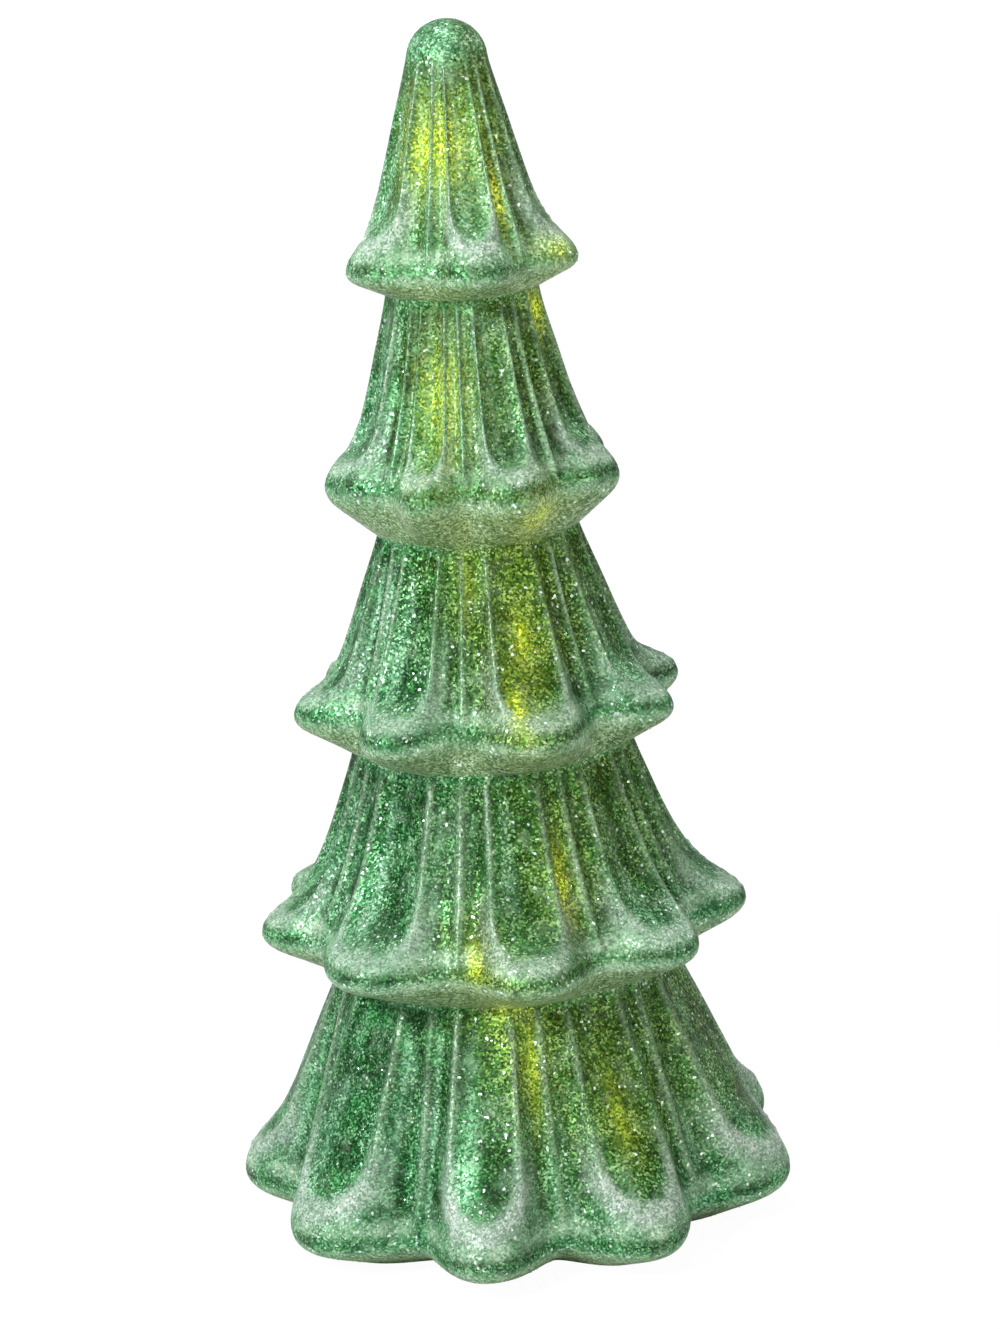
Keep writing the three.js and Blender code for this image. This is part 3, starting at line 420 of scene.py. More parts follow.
def hollow_rings():
    """The rings of the hollow, (radius, height) each, from the mouth up."""
    plain = np.ones(HOLLOW_COLUMNS)
    rings = [(MOUTH_RADIUS * plain, FOOT_LIFT), (MOUTH_RADIUS * plain, FOOT_LIFT + MOUTH_HEIGHT)]
    for tier in TIERS:
        lobe = lobe_share(across_lobe(tier, HOLLOW_ANGLES))
        tip, valley = tier.tip - TIP_INSET * GLASS_WALL, tier.valley - VALLEY_INSET * GLASS_WALL
        for down in np.linspace(1, 0, HOLLOW_ROWS):
            tip_radius = wall_point(tier, tip, tier.flare, down)[0]
            valley_radius = wall_point(tier, valley, VALLEY_FLARE_POWER, down)[0]
            radius = blend(valley_radius, tip_radius, lobe) - GLASS_WALL * (1 - down) - HOLLOW_INSET
            rings.append((radius, blend(tier.neck_z, tier.rim_z + GLASS_WALL, down)))
    rings.append((LEAST_RADIUS * plain, DOME_CENTRE + DOME_RADIUS - 2 * GLASS_WALL))
    return rings


def mesh_object(name, places, faces, smooth_faces=True):
    mesh = bpy.data.meshes.new(name)
    mesh.from_pydata([tuple(p) for p in places], [], faces)
    mesh.polygons.foreach_set("use_smooth", [smooth_faces] * len(mesh.polygons))
    made = bpy.data.objects.new(name, mesh)
    SCENE.collection.objects.link(made)
    return made


def ring_faces(first, rows, columns):
    """Quads between rings of points, from a first point on."""
    faces = []
    for row in range(rows - 1):
        for column in range(columns):
            a, b = row * columns + column, row * columns + (column + 1) % columns
            faces.append((first + a, first + a + columns, first + b + columns, first + b))
    return faces


def ring_points(rings, angles):
    """Points in metres on (radius, height) rings."""
    turn = np.radians(angles)
    rows = [
        np.stack([radius * np.cos(turn), radius * np.sin(turn), np.broadcast_to(z, len(turn))], 1)
        for radius, z in rings
    ]
    return np.clip(np.concatenate(rows) * MM, CAD_LOW, CAD_HIGH)


def glass_faces(outside_rows, hollow_rows):
    """The outside and the hollow, each closed at its top, and the foot's flat ring between them."""
    start = outside_rows * COLUMNS
    foot = start - COLUMNS
    faces = ring_faces(0, outside_rows, COLUMNS) + ring_faces(start, hollow_rows, HOLLOW_COLUMNS)
    ratio = COLUMNS // HOLLOW_COLUMNS
    for i in range(HOLLOW_COLUMNS):
        outer = [foot + (ratio * i + j) % COLUMNS for j in range(ratio + 1)]
        faces.append((*outer[::-1], start + i, start + (i + 1) % HOLLOW_COLUMNS))
    last = start + (hollow_rows - 1) * HOLLOW_COLUMNS
    faces.append(tuple(range(COLUMNS)))
    faces.append(tuple(range(last + HOLLOW_COLUMNS - 1, last - 1, -1)))
    return faces


outer, inner = outside_rings(), hollow_rings()
OUTSIDE = len(outer)
places = ring_points([ring[4:] for ring in outer], ANGLES)
level, tier_snow = (np.repeat([ring[i] for ring in outer], COLUMNS) for i in (0, 1))
spoon, across = (np.concatenate([ring[i] for ring in outer]) for i in (2, 3))
every_place = np.concatenate([places, ring_points(inner, HOLLOW_ANGLES)])
glass = mesh_object("glass_shell", every_place, glass_faces(OUTSIDE, len(inner)))

normals = np.zeros((len(every_place), 3), np.float32)
glass.data.vertices.foreach_get("normal", normals.ravel())
lamps = np.array([np.mean(np.array(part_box(name)), 0) for name in LAMP_NAMES])


# How each lamp's light comes through the glass beside it, as (strength, reach up and reach round
# in mm, degrees that the glass turns it by), and weaker where an upper lamp's crosses the hollow
USUAL_GLOW = (0.7, 8, 2.8, 0)
GLOWS = {
    2: (0.4, 8, 2.2, 0),
    4: (0.6, 11, 1.8, 0),
    6: (0.7, 3.2, 2.4, 0),
    8: (1.3, 3.2, 2.4, 0),
    9: (0.8, 7, 2.2, 0),
    12: (1.3, 5, 2, 0),
    13: (0.9, 6, 2.4, 0),
    14: (0.3, 12, 1.6, 0),
    15: (0.7, 4.5, 6, 0),
    16: (0.7, 16, 8, -16),
    17: (0.9, 5, 3, 0),
    18: (0.8, 3, 5, -14),
    19: (0.7, 8, 2, 0),
    20: (1.3, 11, 9, -18),
}
CROSSING_GLOW = (0.4, 8, 3)
FIRST_CROSSING = 11
WARMTH = (0.75, 20, 11)  # the wide warm light round each lamp
LAMP_TURN = 1.5  # the turn, in radians, that a lamp's light doesn't pass

# Upright streaks of tone
STREAK_LENGTH, STREAK_WIDTH = 14, 1.4
STREAK_RADIUS = 50  # the glass's usual radius, at which the width is right
STREAK_KNOTS = 8  # how many columns to each side are blended
STREAK_SPREAD = 1.5

# Where each tone starts and ends, as ((rise from, rise to), (fall from, fall to)). Levels are 0 at
# a tier's neck, 1 at its rim and 2 at the neck below. Spoon places are 1 on a wide groove's edge,
# and aside is 1 in the valleys.
WALL_LEVELS = (0, 0.06), (0.95, 1.1)
SNOW_SPOON = (0.86, 1.04), (1.15, 1.75)
SNOW_LEVELS = (0.45, 0.8), (1.0, 1.12)
SNOW_ASIDE = (0.5, 1)
FOOT_SNOW_LIFT = 0.14  # the foot's snow reaches a little way into its grooves
FLANGE_LEVELS = (0.94, 1.02), (1.1, 1.2)
FLANGE_ASIDE = (0.55, 0.9)
FLUTE_END = (0.8, 1)
# Painted shade at the top of each wall, under the rim above, fading out between these levels
NECK_SHADE = (0.2, 0.74)
MINT_START = (0.02, 0.25)
UNDER_LEVELS = (1.14, 1.4)
DOME_HEIGHTS = (0.288, 0.301)
HIGH_HEIGHTS = (0.19, 0.21)
SHADED_TURNS = (-1.15, -0.5), (0.3, 0.9)
WARM_TURNS = (-1.6, -0.8), (0, 0.8)
WARM_LEVELS = (0.5, 0.9)

# Narrow lines of tone, as (place, width)
LIT_SIDE = (-0.4, 0.2)
SHADED_SIDE = (-0.5, 0.35)  # from the lit side to the shaded one
SPOON_RIDGE = (1, 0.11)
VALLEY_RIDGE = (1, 0.07)
RIM_ROLL = (0.94, 0.075)
UNDER_ROLL = (1.24, 0.08)
# The turn at which the snow's painted highlight is strongest
SNOW_LIGHT_TURN = math.radians(-75)


def lamp_light(lamp, strength, up_reach, round_reach, shift=0):
    """Light beside one lamp, which falls off over a reach up and round the tree."""
    x, y, z = lamp
    turn = np.angle(np.exp(1j * (azimuth - math.atan2(y, x) - math.radians(shift))))
    up = (places[:, 2] - z) / MM / up_reach
    side = turn * np.hypot(places[:, 0], places[:, 1]) / MM / round_reach
    return strength * (np.abs(turn) < LAMP_TURN) / (1 + up**2 + side**2) ** 2


def streaks():
    """Random tones, about -1 to 1, in upright streaks."""
    knots = RNG.normal(size=(int(TREE_HEIGHT / STREAK_LENGTH) + 2, COLUMNS))
    reach = STREAK_WIDTH / (2 * math.pi * STREAK_RADIUS / COLUMNS)
    offsets = np.arange(-STREAK_KNOTS, STREAK_KNOTS + 1)
    knots = sum(math.exp(-((k / reach) ** 2)) * np.roll(knots, k, 1) for k in offsets)
    knots /= STREAK_SPREAD * knots.std()
    row = places[:, 2] / MM / STREAK_LENGTH
    below = row.astype(int)
    column = np.tile(np.arange(COLUMNS), OUTSIDE)
    return blend(knots[below, column], knots[below + 1, column], smooth(row - below, 0, 1))


def band(value, rise, fall):
    """1 between a rise and a fall with soft ends, and 0 outside them."""
    return smooth(value, *rise) * (1 - smooth(value, *fall))


def line(value, place, width):
    """1 at a place, and less within a width of it."""
    return np.exp(-(((value - place) / width) ** 2))


azimuth = np.arctan2(places[:, 1], places[:, 0])
up = places[:, 2]
aside = np.abs(across)
on_wall = band(level, *WALL_LEVELS)
streak = streaks()

# The grooves, and their sides away from the light and towards it
narrow_half = (1 - GROOVE_EDGE) / 2
flute_place = (aside - 1 + narrow_half) / narrow_half * np.sign(across)
in_spoon = np.clip(1 - spoon**2, 0, 1)
in_flute = np.clip(1 - flute_place**2, 0, 1) * (1 - smooth(level, *FLUTE_END)) * (spoon > 1)
groove_place = np.where(aside < GROOVE_EDGE, across / GROOVE_EDGE, flute_place)
in_groove = np.maximum(in_spoon, in_flute) * on_wall
shaded_side = smooth(groove_place, *SHADED_SIDE)
lit_side = line(groove_place, *LIT_SIDE)

# What stands out, and where snow lies
snow_place = spoon + FOOT_SNOW_LIFT * (up < TIERS[0].neck_z * MM)
crescent = band(snow_place, *SNOW_SPOON) * band(level, *SNOW_LEVELS)
crescent *= 1 - smooth(aside, *SNOW_ASIDE)
flange = band(level, *FLANGE_LEVELS) * (1 - smooth(aside, *FLANGE_ASIDE))
ridge = line(spoon, *SPOON_RIDGE) + line(aside, *VALLEY_RIDGE) * (level < 1)
roll = line(level, *RIM_ROLL) + 0.8 * line(level, *UNDER_ROLL)
dome = smooth(up, *DOME_HEIGHTS)
high_up = smooth(up, *HIGH_HEIGHTS)
shaded = high_up * band(azimuth, *SHADED_TURNS) * on_wall

# Light from inside
spots = sum(lamp_light(lamp, *GLOWS.get(i + 1, USUAL_GLOW)) for i, lamp in enumerate(lamps))
spots += sum(lamp_light(lamp * (-1, -1, 1), *CROSSING_GLOW) for lamp in lamps[FIRST_CROSSING:])
warmth = sum(lamp_light(lamp, *WARMTH) for lamp in lamps)

# Darker glass: deeper green in the grooves, with painted shade in them that is strongest on their
# sides away from the light and in the narrow flutes. Painted shade also lies on the rim's face
# under its roll, at the top of each wall under the rim above and, through shaded, on the upper
# tiers' right side. Random upright streaks are added.
depth_and_shade = np.maximum.reduce(
    [
        in_groove * (0.5 + 0.5 * shaded_side),
        in_flute * on_wall,
        flange * (1 - crescent) * np.clip(0.7 + 0.5 * streak, 0, 1),
        on_wall * (1 - smooth(level, *NECK_SHADE)) * (1 - dome),
    ]
)
# Mint: painted highlight on the grooves' lit sides with random upright streaks, from a little below
# the neck on
mint_highlight = (0.75 * in_groove * lit_side + 0.3 * streak * on_wall) * smooth(level, *MINT_START)
# Painted highlight along the top of the rim's roll and its lower edge, weaker on the grooves'
# shaded sides and on snowier tiers
rim_highlight = roll * (1 - 0.8 * in_groove * shaded_side) * (2 - tier_snow) * (1 + 0.4 * streak)
# Painted warm shade on the front's right side, over the upper part of each wall
warm_shaded_side = band(azimuth, *WARM_TURNS) * (1 - smooth(level, *WARM_LEVELS))
# Snow painted lighter towards the side where the light falls, as a highlight
snow_lit_side = 0.8 + 0.2 * np.cos(azimuth - SNOW_LIGHT_TURN)
masks = {
    "snow": crescent * tier_snow * snow_lit_side + 0.1 * dome,
    "ridge": ridge * on_wall * np.clip(0.62 + 0.4 * streak, 0.15, 1),
    "depth_and_shade": depth_and_shade + 0.4 * streak * on_wall + 0.5 * shaded,
    "mint_highlight": mint_highlight + 0.6 * high_up * warmth + 0.4 * roll,
    "rim_highlight": rim_highlight,
    "under": smooth(level, *UNDER_LEVELS),
    "glow": 0.7 * spots * np.clip(1.05 - ridge, 0.1, 1),
    "warm": warmth * (1 - 0.7 * high_up) + 0.45 * warm_shaded_side,
}
for name, values in masks.items():
    layer = glass.data.attributes.new(name, "FLOAT", "POINT")
    padded = np.concatenate([np.clip(values, 0, 1), np.zeros(len(every_place) - len(places))])
    layer.data.foreach_set("value", padded.astype(np.float32))

GRAIN = 0.00048
COARSE_GRAIN = 0.00062
GRAIN_TILT = 0.26
METAL_FROM = 0.5  # of a grain's random number, as is the next
SILVER_FROM = 0.99
SILVER = (0.68, 0.82, 0.74)
GLOW_TINT = (0.24, 0.38, 0.02)
WARM_LIGHT, GLOW_LIGHT = 0.045, 1.4

look = Look("glitter_glass", Roughness=0.46, Specular_IOR_Level=0.25, IOR=1.35)
red, green, blue, tilt = look.grains(GRAIN)
coarse_red, coarse_green, *_ = look.grains(COARSE_GRAIN)
patches = look.noise(0.008, 3, 0.6)
shifted = look.math("ADD", red, look.math("MULTIPLY", look.math("SUBTRACT", patches, 0.5), 0.9))
green_grains = look.ramp(
    shifted,
    (0.00, (0.004, 0.046, 0.014)),
    (0.30, (0.014, 0.128, 0.034)),
    (0.60, (0.056, 0.265, 0.088)),
    (0.82, (0.130, 0.420, 0.190)),
    (1.00, (0.400, 0.660, 0.460)),
)
deep_grains = look.ramp(
    shifted,
    (0.00, (0.001, 0.007, 0.001)),
    (0.45, (0.004, 0.032, 0.004)),
    (0.78, (0.012, 0.115, 0.018)),
    (1.00, (0.130, 0.360, 0.150)),
)
emerald_grains = look.ramp(
    shifted,
    (0.00, (0.004, 0.070, 0.012)),
    (0.50, (0.014, 0.210, 0.040)),
    (1.00, (0.200, 0.580, 0.250)),
)
mint_grains = look.ramp(
    red,
    (0.00, (0.045, 0.180, 0.075)),
    (0.50, (0.160, 0.430, 0.225)),
    (1.00, (0.520, 0.760, 0.570)),
)
olive_grains = look.ramp(
    shifted,
    (0.00, (0.004, 0.018, 0.002)),
    (0.40, (0.018, 0.066, 0.004)),
    (0.75, (0.080, 0.195, 0.014)),
    (1.00, (0.400, 0.540, 0.120)),
)
frost_grains = look.ramp(
    green,
    (0.00, (0.140, 0.250, 0.150)),
    (0.50, (0.310, 0.460, 0.310)),
    (1.00, (0.620, 0.760, 0.600)),
)
snow_grains = look.ramp(
    green,
    (0.00, (0.160, 0.240, 0.180)),
    (0.45, (0.300, 0.385, 0.320)),
    (1.00, (0.600, 0.670, 0.620)),
)
under_grains = look.ramp(
    red,
    (0.00, (0.065, 0.125, 0.050)),
    (0.50, (0.200, 0.290, 0.140)),
    (1.00, (0.460, 0.540, 0.340)),
)

# Colour: green glass, darker in the grooves with painted shade and lit up with painted highlights
# and lamp light, then the coats that lie on it
colour = look.mix(look.attribute("depth_and_shade"), green_grains, deep_grains)
# Emerald patches in the darker parts: painted highlights of light that the green glass bends
emerald_glints = look.ramp(look.noise(0.011, 2, 0.5), (0.54, (0, 0, 0)), (0.66, (0.7, 0.7, 0.7)))
colour = look.mix(look.math("MULTIPLY", look.attribute("depth_and_shade"), emerald_glints), colour, emerald_grains)
streaky = look.math("MULTIPLY_ADD", look.noise(0.012, 2, 0.5), 2.4, -0.5, clamp=True)
# Mint: painted highlights on the grooves' lit sides and along the rims' roll, the lamps' light
# painted on the upper tiers, and random streaks
colour = look.mix(look.math("MULTIPLY", look.attribute("mint_highlight"), streaky), colour, mint_grains)
# Olive where the lamps' warm light is painted, and painted warm shade on the front's right side
colour = look.mix(look.math("MULTIPLY", look.attribute("warm"), 0.9), colour, olive_grains)
# Frost from random patches and the ridges, and in patches the painted highlight along the rims'
# roll
frost = look.ramp(look.noise(0.006, 4, 0.65), (0.5, (0, 0, 0)), (0.8, (0.35, 0.35, 0.35)))
frost = look.math("MAXIMUM", frost, look.math("MULTIPLY", look.attribute("ridge"), 0.6))
patchy = look.math("MULTIPLY_ADD", patches, 1.9, -0.45)
rim_highlight_patches = look.math("MULTIPLY", look.attribute("rim_highlight"), patchy)
frost = look.math("MAXIMUM", frost, rim_highlight_patches)
colour = look.mix(frost, colour, frost_grains)
colour = look.mix(look.math("MULTIPLY", look.attribute("under"), 0.75), colour, under_grains)
broken = look.math("MULTIPLY_ADD", look.noise(0.004, 3, 0.6), 2.4, -0.2)
snow_share = look.math("MULTIPLY", look.attribute("snow"), broken, clamp=True)
colour = look.mix(snow_share, colour, snow_grains)
colour = look.mix(look.math("MULTIPLY", look.attribute("glow"), 0.6), colour, GLOW_TINT)
silver = look.math("GREATER_THAN", coarse_red, SILVER_FROM)
look.set(Base_Color=look.mix(silver, colour, SILVER))

# Some grains are metallic, except under snow, and each one faces its own way
metallic = look.math("MULTIPLY", look.math("GREATER_THAN", blue, METAL_FROM), 0.6)
metallic = look.math("MULTIPLY", metallic, look.math("MULTIPLY_ADD", snow_share, -0.9, 1))
metallic = look.math("MAXIMUM", metallic, look.math("MULTIPLY", silver, 0.9))
look.set(Metallic=metallic)
sideways = look.node("VectorMath", tilt, (0.5, 0.5, 0.5), operation="SUBTRACT").outputs[0]
sideways = look.node("VectorMath", sideways, operation="SCALE")
sideways.inputs["Scale"].default_value = GRAIN_TILT
surface = look.node("NewGeometry").outputs["Normal"]
normal = look.node("VectorMath", surface, sideways.outputs[0], operation="ADD").outputs[0]
normal = look.node("VectorMath", normal, operation="NORMALIZE").outputs[0]
look.set(Normal=normal)

# Light of the lamps that comes through
speckle = look.math("MULTIPLY_ADD", look.math("POWER", green, 2.5), 1.7, 0.08)
light = look.math("MULTIPLY", look.attribute("glow"), GLOW_LIGHT)
light = look.math("MULTIPLY_ADD", look.attribute("warm"), WARM_LIGHT, light)
light = look.math("MULTIPLY", light, speckle)
shine = look.ramp(coarse_green, (0.2, (0.46, 0.60, 0.01)), (0.9, (0.90, 0.86, 0.08)))
look.set(Emission_Color=shine, Emission_Strength=light)
glass.data.materials.append(look.material)
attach(glass, "tree")
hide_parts("glass_tree")


# Loose glitter that lies on the glass

FLAKES = 6000
FLAKE_RADIUS = (0.00009, 0.00018)
FLAKE_LIFT = 0.00012
FLAKE_TILT = 0.55
FLAKE_CORNERS = 6


def flake_mesh():
    """Small hexagons on random places of the outside, each with its own tilt and tone."""
    outer = places.reshape(OUTSIDE, COLUMNS, 3)
    normal_grid = normals[: OUTSIDE * COLUMNS].reshape(OUTSIDE, COLUMNS, 3)
    step_down = np.linalg.norm(np.diff(outer, axis=0), axis=2)
    step_round = np.linalg.norm(outer[:-1] - np.roll(outer[:-1], -1, 1), axis=2)
    area = (step_down * step_round).ravel()
    cells = RNG.choice(area.size, FLAKES, p=area / area.sum())
    row, column = np.divmod(cells, COLUMNS)
    share_down, share_round = RNG.random((2, FLAKES, 1))
    next_column = (column + 1) % COLUMNS
    top = blend(outer[row, column], outer[row, next_column], share_round)
    bottom = blend(outer[row + 1, column], outer[row + 1, next_column], share_round)
    centre = blend(top, bottom, share_down)
    upright = normal_grid[row, column]
    facing = upright + FLAKE_TILT * (RNG.random((FLAKES, 3)) - 0.5) * 2
    facing /= np.linalg.norm(facing, axis=1, keepdims=True)
    side = np.cross(facing, RNG.normal(size=(FLAKES, 3)))
    side /= np.linalg.norm(side, axis=1, keepdims=True)
    other = np.cross(facing, side)
    radius = RNG.uniform(*FLAKE_RADIUS, (FLAKES, 1))
    corners = []
    for i in range(FLAKE_CORNERS):
        turn = 2 * math.pi / FLAKE_CORNERS * i
        corners.append(centre + radius * (math.cos(turn) * side + math.sin(turn) * other))
    corners = np.stack(corners, 1) + (upright * FLAKE_LIFT)[:, None]
    inside = ((corners >= CAD_LOW) & (corners <= CAD_HIGH)).all((1, 2))
    corners = corners[inside]
    tone = np.repeat(RNG.random(len(corners)), FLAKE_CORNERS)
    faces = np.arange(tone.size).reshape(-1, FLAKE_CORNERS).tolist()
    return corners.reshape(-1, 3), faces, tone


flake_places, flake_faces, flake_tone = flake_mesh()
flakes = mesh_object("glitter_flakes", flake_places, flake_faces, smooth_faces=False)
layer = flakes.data.attributes.new("tone", "FLOAT", "POINT")
layer.data.foreach_set("value", flake_tone.astype(np.float32))
look = Look("glitter_flake", Metallic=1.0, Roughness=0.22)
look.set(
    Base_Color=look.ramp(
        look.attribute("tone"),
        (0.00, (0.08, 0.40, 0.20)),
        (0.50, (0.30, 0.58, 0.40)),
        (0.80, (0.66, 0.78, 0.71)),
    )
)
flakes.data.materials.append(look.material)
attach(flakes, "tree")


# Materials of what the base holds

WRAP_SPAN = 0.025  # metres from a cell's middle that its ramp covers
TRACK_SCALE = 260


def moulded(name, colour, roughness=0.5, fine=0.0006, depth=0.00004):
    """Moulded plastic with a fine spark-eroded texture and slightly uneven colour."""
    made = Look(name, Roughness=roughness)
    dark = tuple(0.9 * c for c in colour)
    light = tuple(min(1, 1.1 * c) for c in colour)
    made.set(Base_Color=made.ramp(made.noise(0.009, 4), (0.3, dark), (0.7, light)))
    made.set(Normal=made.bump(made.noise(fine, 3), depth))
    return made.material


def metal(name, colour, roughness, fine=0.0009):
    """Bare metal with a fine grain and faint stains."""
    made = Look(name, Metallic=1.0)
    dull = tuple(0.8 * c for c in colour)
    made.set(Base_Color=made.ramp(made.noise(0.004, 5), (0.35, dull), (0.65, colour)))
    rough = made.math("MULTIPLY_ADD", made.noise(fine, 4), 0.25, roughness - 0.12)
    made.set(Roughness=rough, Normal=made.bump(made.noise(fine, 2), 0.00001, 0.5))
    return made.material


def insulation(name, colour):
    made = Look(name, Roughness=0.38)
    dark = tuple(0.7 * c for c in colour)
    made.set(Base_Color=made.ramp(made.noise(0.005, 3), (0.3, dark), (0.7, colour)))
    made.set(Normal=made.bump(made.noise(0.0015, 2), 0.00003))
    return made.material


def cell_wrap():
    """Shrink sleeve of a cell: coloured in its middle and bare silver grey towards its ends."""
    made = Look("cell_wrap", Roughness=0.3, Metallic=0.3, Coat_Weight=0.6)
    from_middle = made.math("ABSOLUTE", made.node("SeparateXYZ", made.place).outputs["Y"])
    wrap = made.ramp(
        made.math("DIVIDE", from_middle, WRAP_SPAN),
        (0.0, (0.10, 0.25, 0.46)),
        (0.6, (0.55, 0.57, 0.58)),
        interpolation="CONSTANT",
    )
    worn = made.mix(made.math("MULTIPLY", made.noise(0.003, 4), 0.25), wrap, (0.04, 0.10, 0.20))
    made.set(Base_Color=worn, Normal=made.bump(made.noise(0.0012, 3), 0.00002))
    return made.material


def board():
    """Green solder mask with faint copper tracks under it."""
    made = Look("board_green", Roughness=0.4, Coat_Weight=0.3)
    tracks = made.node("TexWave", made.place, wave_type="BANDS", bands_direction="DIAGONAL")
    tracks.inputs["Scale"].default_value = TRACK_SCALE
    tracks.inputs["Distortion"].default_value = 3
    lines = tracks.outputs["Fac"]
    made.set(Base_Color=made.ramp(lines, (0.45, (0.03, 0.16, 0.06)), (0.55, (0.06, 0.26, 0.10))))
    made.set(Normal=made.bump(lines, 0.00003))
    return made.material


def rubber():
    made = Look("silicone", Roughness=0.45, Subsurface_Weight=0.15)
    clouds = made.noise(0.004, 3)
    made.set(Base_Color=made.ramp(clouds, (0.3, (0.60, 0.64, 0.60)), (0.7, (0.74, 0.77, 0.73))))
    made.set(Normal=made.bump(made.noise(0.0008, 3), 0.00003))
    return made.material


def resin():
    """A clear resin drop over a lit chip: warm white, and a little uneven."""
    made = Look("lamp_clear", Roughness=0.08, IOR=1.5, Base_Color=(1.0, 0.90, 0.62))
    lit = made.math("MULTIPLY_ADD", made.noise(0.0006, 2), 3.0, 4.0)
    made.set(Emission_Color=(1.0, 0.78, 0.35), Emission_Strength=lit)
    return made.material


FOOT_PADS = [f"foot_pad_{i}" for i in range(1, 5)]
CELLS = [f"battery_cell_{i}" for i in range(1, 4)]
PLASTIC = moulded("dark_plastic", (0.030, 0.062, 0.036), 0.55)
CHIP = moulded("chip_black", (0.022, 0.022, 0.024), 0.5, 0.0004, 0.00002)
NICKEL = metal("nickel", (0.74, 0.73, 0.70), 0.28)
STEEL = metal("screw_steel", (0.56, 0.57, 0.60), 0.34)
COPPER = metal("copper_wire", (0.72, 0.40, 0.20), 0.35)
WRAP = cell_wrap()
BOARD = board()
SILICONE = rubber()
RED = insulation("lead_red", (0.52, 0.03, 0.03))
BLACK = insulation("lead_black", (0.025, 0.025, 0.028))
RESIN = resin()
NODE_LOOKS = {
    PLASTIC: ["base_housing", "battery_door"],
    SILICONE: ["adhesive_ring", *FOOT_PADS],
    STEEL: ["door_screw", "board_screw_1", "board_screw_2"],
    WRAP: CELLS,
    NICKEL: [
        *("contact_positive", "contact_negative"),
        *("contact_bridge_front", "contact_bridge_back"),
        "crystal_can",
    ],
    BOARD: ["timer_board"],
    CHIP: ["switch_body", "switch_knob", "timer_chip"],
    RED: ["battery_lead_red"],
    BLACK: ["battery_lead_black"],
    COPPER: ["light_string_wire"],
    RESIN: LAMP_NAMES,
}
for material, names in NODE_LOOKS.items():
    for name in names:
        for slot in NODES[name].material_slots:
            slot.material = material


# Finer copies of the hard parts, with rounded edges, and the legend beside the switch

EDGE_ROUNDS = {
    0.0003: ["base_housing", "battery_door", *CELLS],
    0.0002: ["switch_knob", "switch_body", *FOOT_PADS],
    0.00012: ["timer_chip", "crystal_can", "door_screw", "board_screw_1", "board_screw_2"],
}
BODIES = {"battery_door": "door", "door_screw": "door_screw", "switch_knob": "switch_knob"}
SHARP_ANGLE = math.radians(35)
FLAT_ANGLE = math.radians(1)
LEGEND_WORDS = {"ON": 0.002, "OFF": 0, "TIMER": -0.002}
LEGEND_X = 0.0252
LEGEND_SIZE = 0.0017
LEGEND_DEPTH = 0.00015
LEGEND_FACING = (1, -1, -1)  # turned over, so that it is read from below


def edge_rounded(name, width):
    """A copy of a CAD node with its hard edges rounded."""
    made = NODES[name].copy()
    made.data = NODES[name].data.copy()
    made.name = f"{name}_rounded"
    SCENE.collection.objects.link(made)
    flat = made.modifiers.new("flat", "DECIMATE")
    flat.decimate_type = "DISSOLVE"
    flat.angle_limit = FLAT_ANGLE
    edges = made.modifiers.new("edges", "BEVEL")
    edges.width = width
    edges.segments = 2
    edges.angle_limit = SHARP_ANGLE
    edges.harden_normals = True
    made.data.polygons.foreach_set("use_smooth", [True] * len(made.data.polygons))
    made.data.set_sharp_from_angle(angle=SHARP_ANGLE)
    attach(made, BODIES.get(name, "tree"))
    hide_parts(name)


for width, names in EDGE_ROUNDS.items():
    for name in names:
        edge_rounded(name, width)

def legend(word, y):
    """A word in letters that stand a little out of the base, level with the slider's position."""
    curve = bpy.data.curves.new(f"legend_{word.lower()}", "FONT")
    curve.body = word
    curve.size = LEGEND_SIZE
    curve.extrude = LEGEND_DEPTH
    curve.align_x, curve.align_y = "RIGHT", "CENTER"
    drawn = bpy.data.objects.new(curve.name, curve)
    SCENE.collection.objects.link(drawn)
    bpy.context.view_layer.update()
    finished = drawn.evaluated_get(bpy.context.evaluated_depsgraph_get())
    letters = bpy.data.meshes.new_from_object(finished)
    bpy.data.objects.remove(drawn)
    points = np.zeros(3 * len(letters.vertices))
    letters.vertices.foreach_get("co", points)
    under_base = np.array(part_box("base_housing"))[0, 2]
    points = points.reshape(-1, 3) * LEGEND_FACING + (LEGEND_X, y, under_base)
    letters.vertices.foreach_set("co", points.ravel())
    made = bpy.data.objects.new(f"legend_{word.lower()}", letters)
    SCENE.collection.objects.link(made)
    letters.materials.append(PLASTIC)
    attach(made, "tree")


for word, y in LEGEND_WORDS.items():
    legend(word, y)


# Light, floor and backdrop

LIGHTS_AIM = Vector((0, 0, 0.15))
WORLD_LIGHT = 0.18
FLOOR_REACH = 3
WHITE_LIGHT = 1.04
FADE = (0.12, 0.4)  # metres from the tree between which the floor goes over to plain white
FADE_SHARES = (0.93, 1)


def area_light(name, at, power, size, colour=(1, 1, 1)):
    data = bpy.data.lights.new(name, "AREA")
    data.energy = power
    data.shape = "DISK"
    data.size = size
    data.color = colour
    made = bpy.data.objects.new(name, data)
    made.location = at
    made.rotation_mode = "QUATERNION"
    made.rotation_quaternion = (LIGHTS_AIM - Vector(at)).to_track_quat("-Z", "Y")
    SCENE.collection.objects.link(made)


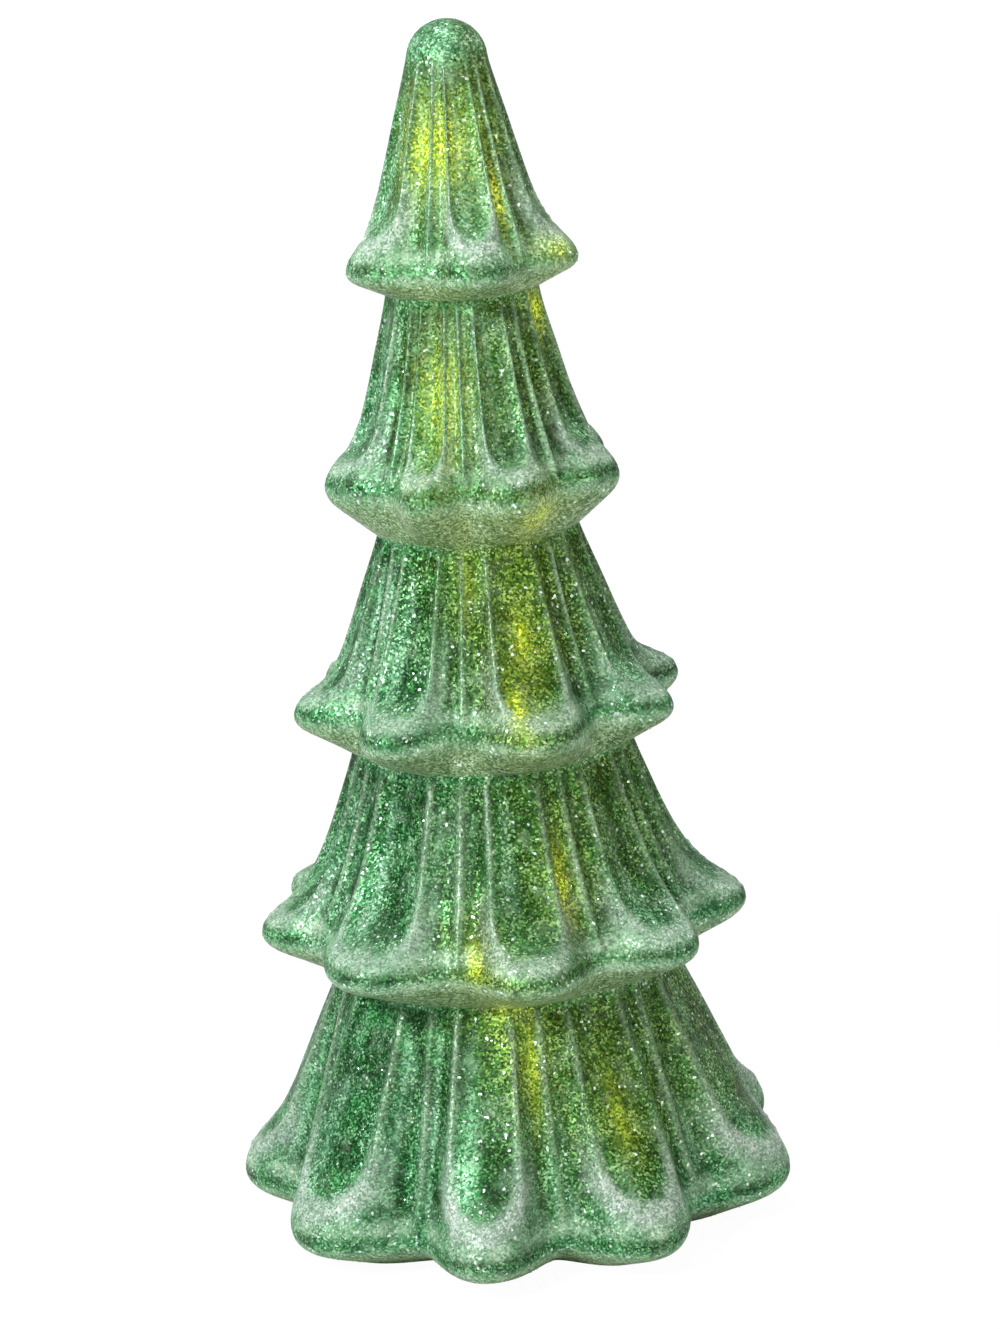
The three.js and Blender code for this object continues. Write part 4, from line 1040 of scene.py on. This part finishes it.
area_light("key", (-0.72, -0.78, 0.9), 18, 0.4, (0.97, 1.0, 0.98))
area_light("fill", (0.75, -0.9, 0.4), 3.2, 0.3, (1.0, 0.98, 0.86))
area_light("back_left", (-0.85, 0.75, 0.7), 4, 0.4)
area_light("back_right", (0.85, 0.75, 0.7), 3.2, 0.4)
area_light("top", (0.0, 0.1, 1.3), 6, 0.5)

# The world is white where it is seen and a faint light elsewhere
world = bpy.data.worlds.new("world")
SCENE.world = world
world.use_nodes = True
tree = world.node_tree
tree.nodes.clear()
path = tree.nodes.new("ShaderNodeLightPath")
seen = tree.nodes.new("ShaderNodeBackground")
seen.inputs["Color"].default_value = (1, 1, 1, 1)
lit = tree.nodes.new("ShaderNodeBackground")
lit.inputs["Color"].default_value = (0.95, 1.0, 0.97, 1)
lit.inputs["Strength"].default_value = WORLD_LIGHT
mixed = tree.nodes.new("ShaderNodeMixShader")
shown = tree.nodes.new("ShaderNodeOutputWorld")
tree.links.new(path.outputs["Is Camera Ray"], mixed.inputs[0])
tree.links.new(lit.outputs[0], mixed.inputs[1])
tree.links.new(seen.outputs[0], mixed.inputs[2])
tree.links.new(mixed.outputs[0], shown.inputs["Surface"])

# The floor, too: almost white where it is seen
corners = ((-1, -1), (1, -1), (1, 1), (-1, 1))
floor_places = [(x * FLOOR_REACH, y * FLOOR_REACH, 0) for x, y in corners]
floor = mesh_object("floor", floor_places, [(0, 1, 2, 3)])
look = Look("floor", Base_Color=(0.8, 0.8, 0.8), Roughness=0.9)
away = look.node("VectorMath", look.place, operation="LENGTH").outputs["Value"]
white_share = look.node("MapRange", away, *FADE, *FADE_SHARES).outputs["Result"]
seen_share = look.math("MULTIPLY", look.node("LightPath").outputs["Is Camera Ray"], white_share)
white = look.node("Emission", None, WHITE_LIGHT).outputs[0]
mixed = look.node("MixShader", seen_share, look.shader.outputs[0], white).outputs[0]
look.tree.links.new(mixed, look.tree.nodes["Material Output"].inputs["Surface"])
floor.data.materials.append(look.material)
floor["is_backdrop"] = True

SCENE.view_settings.view_transform = "Standard"
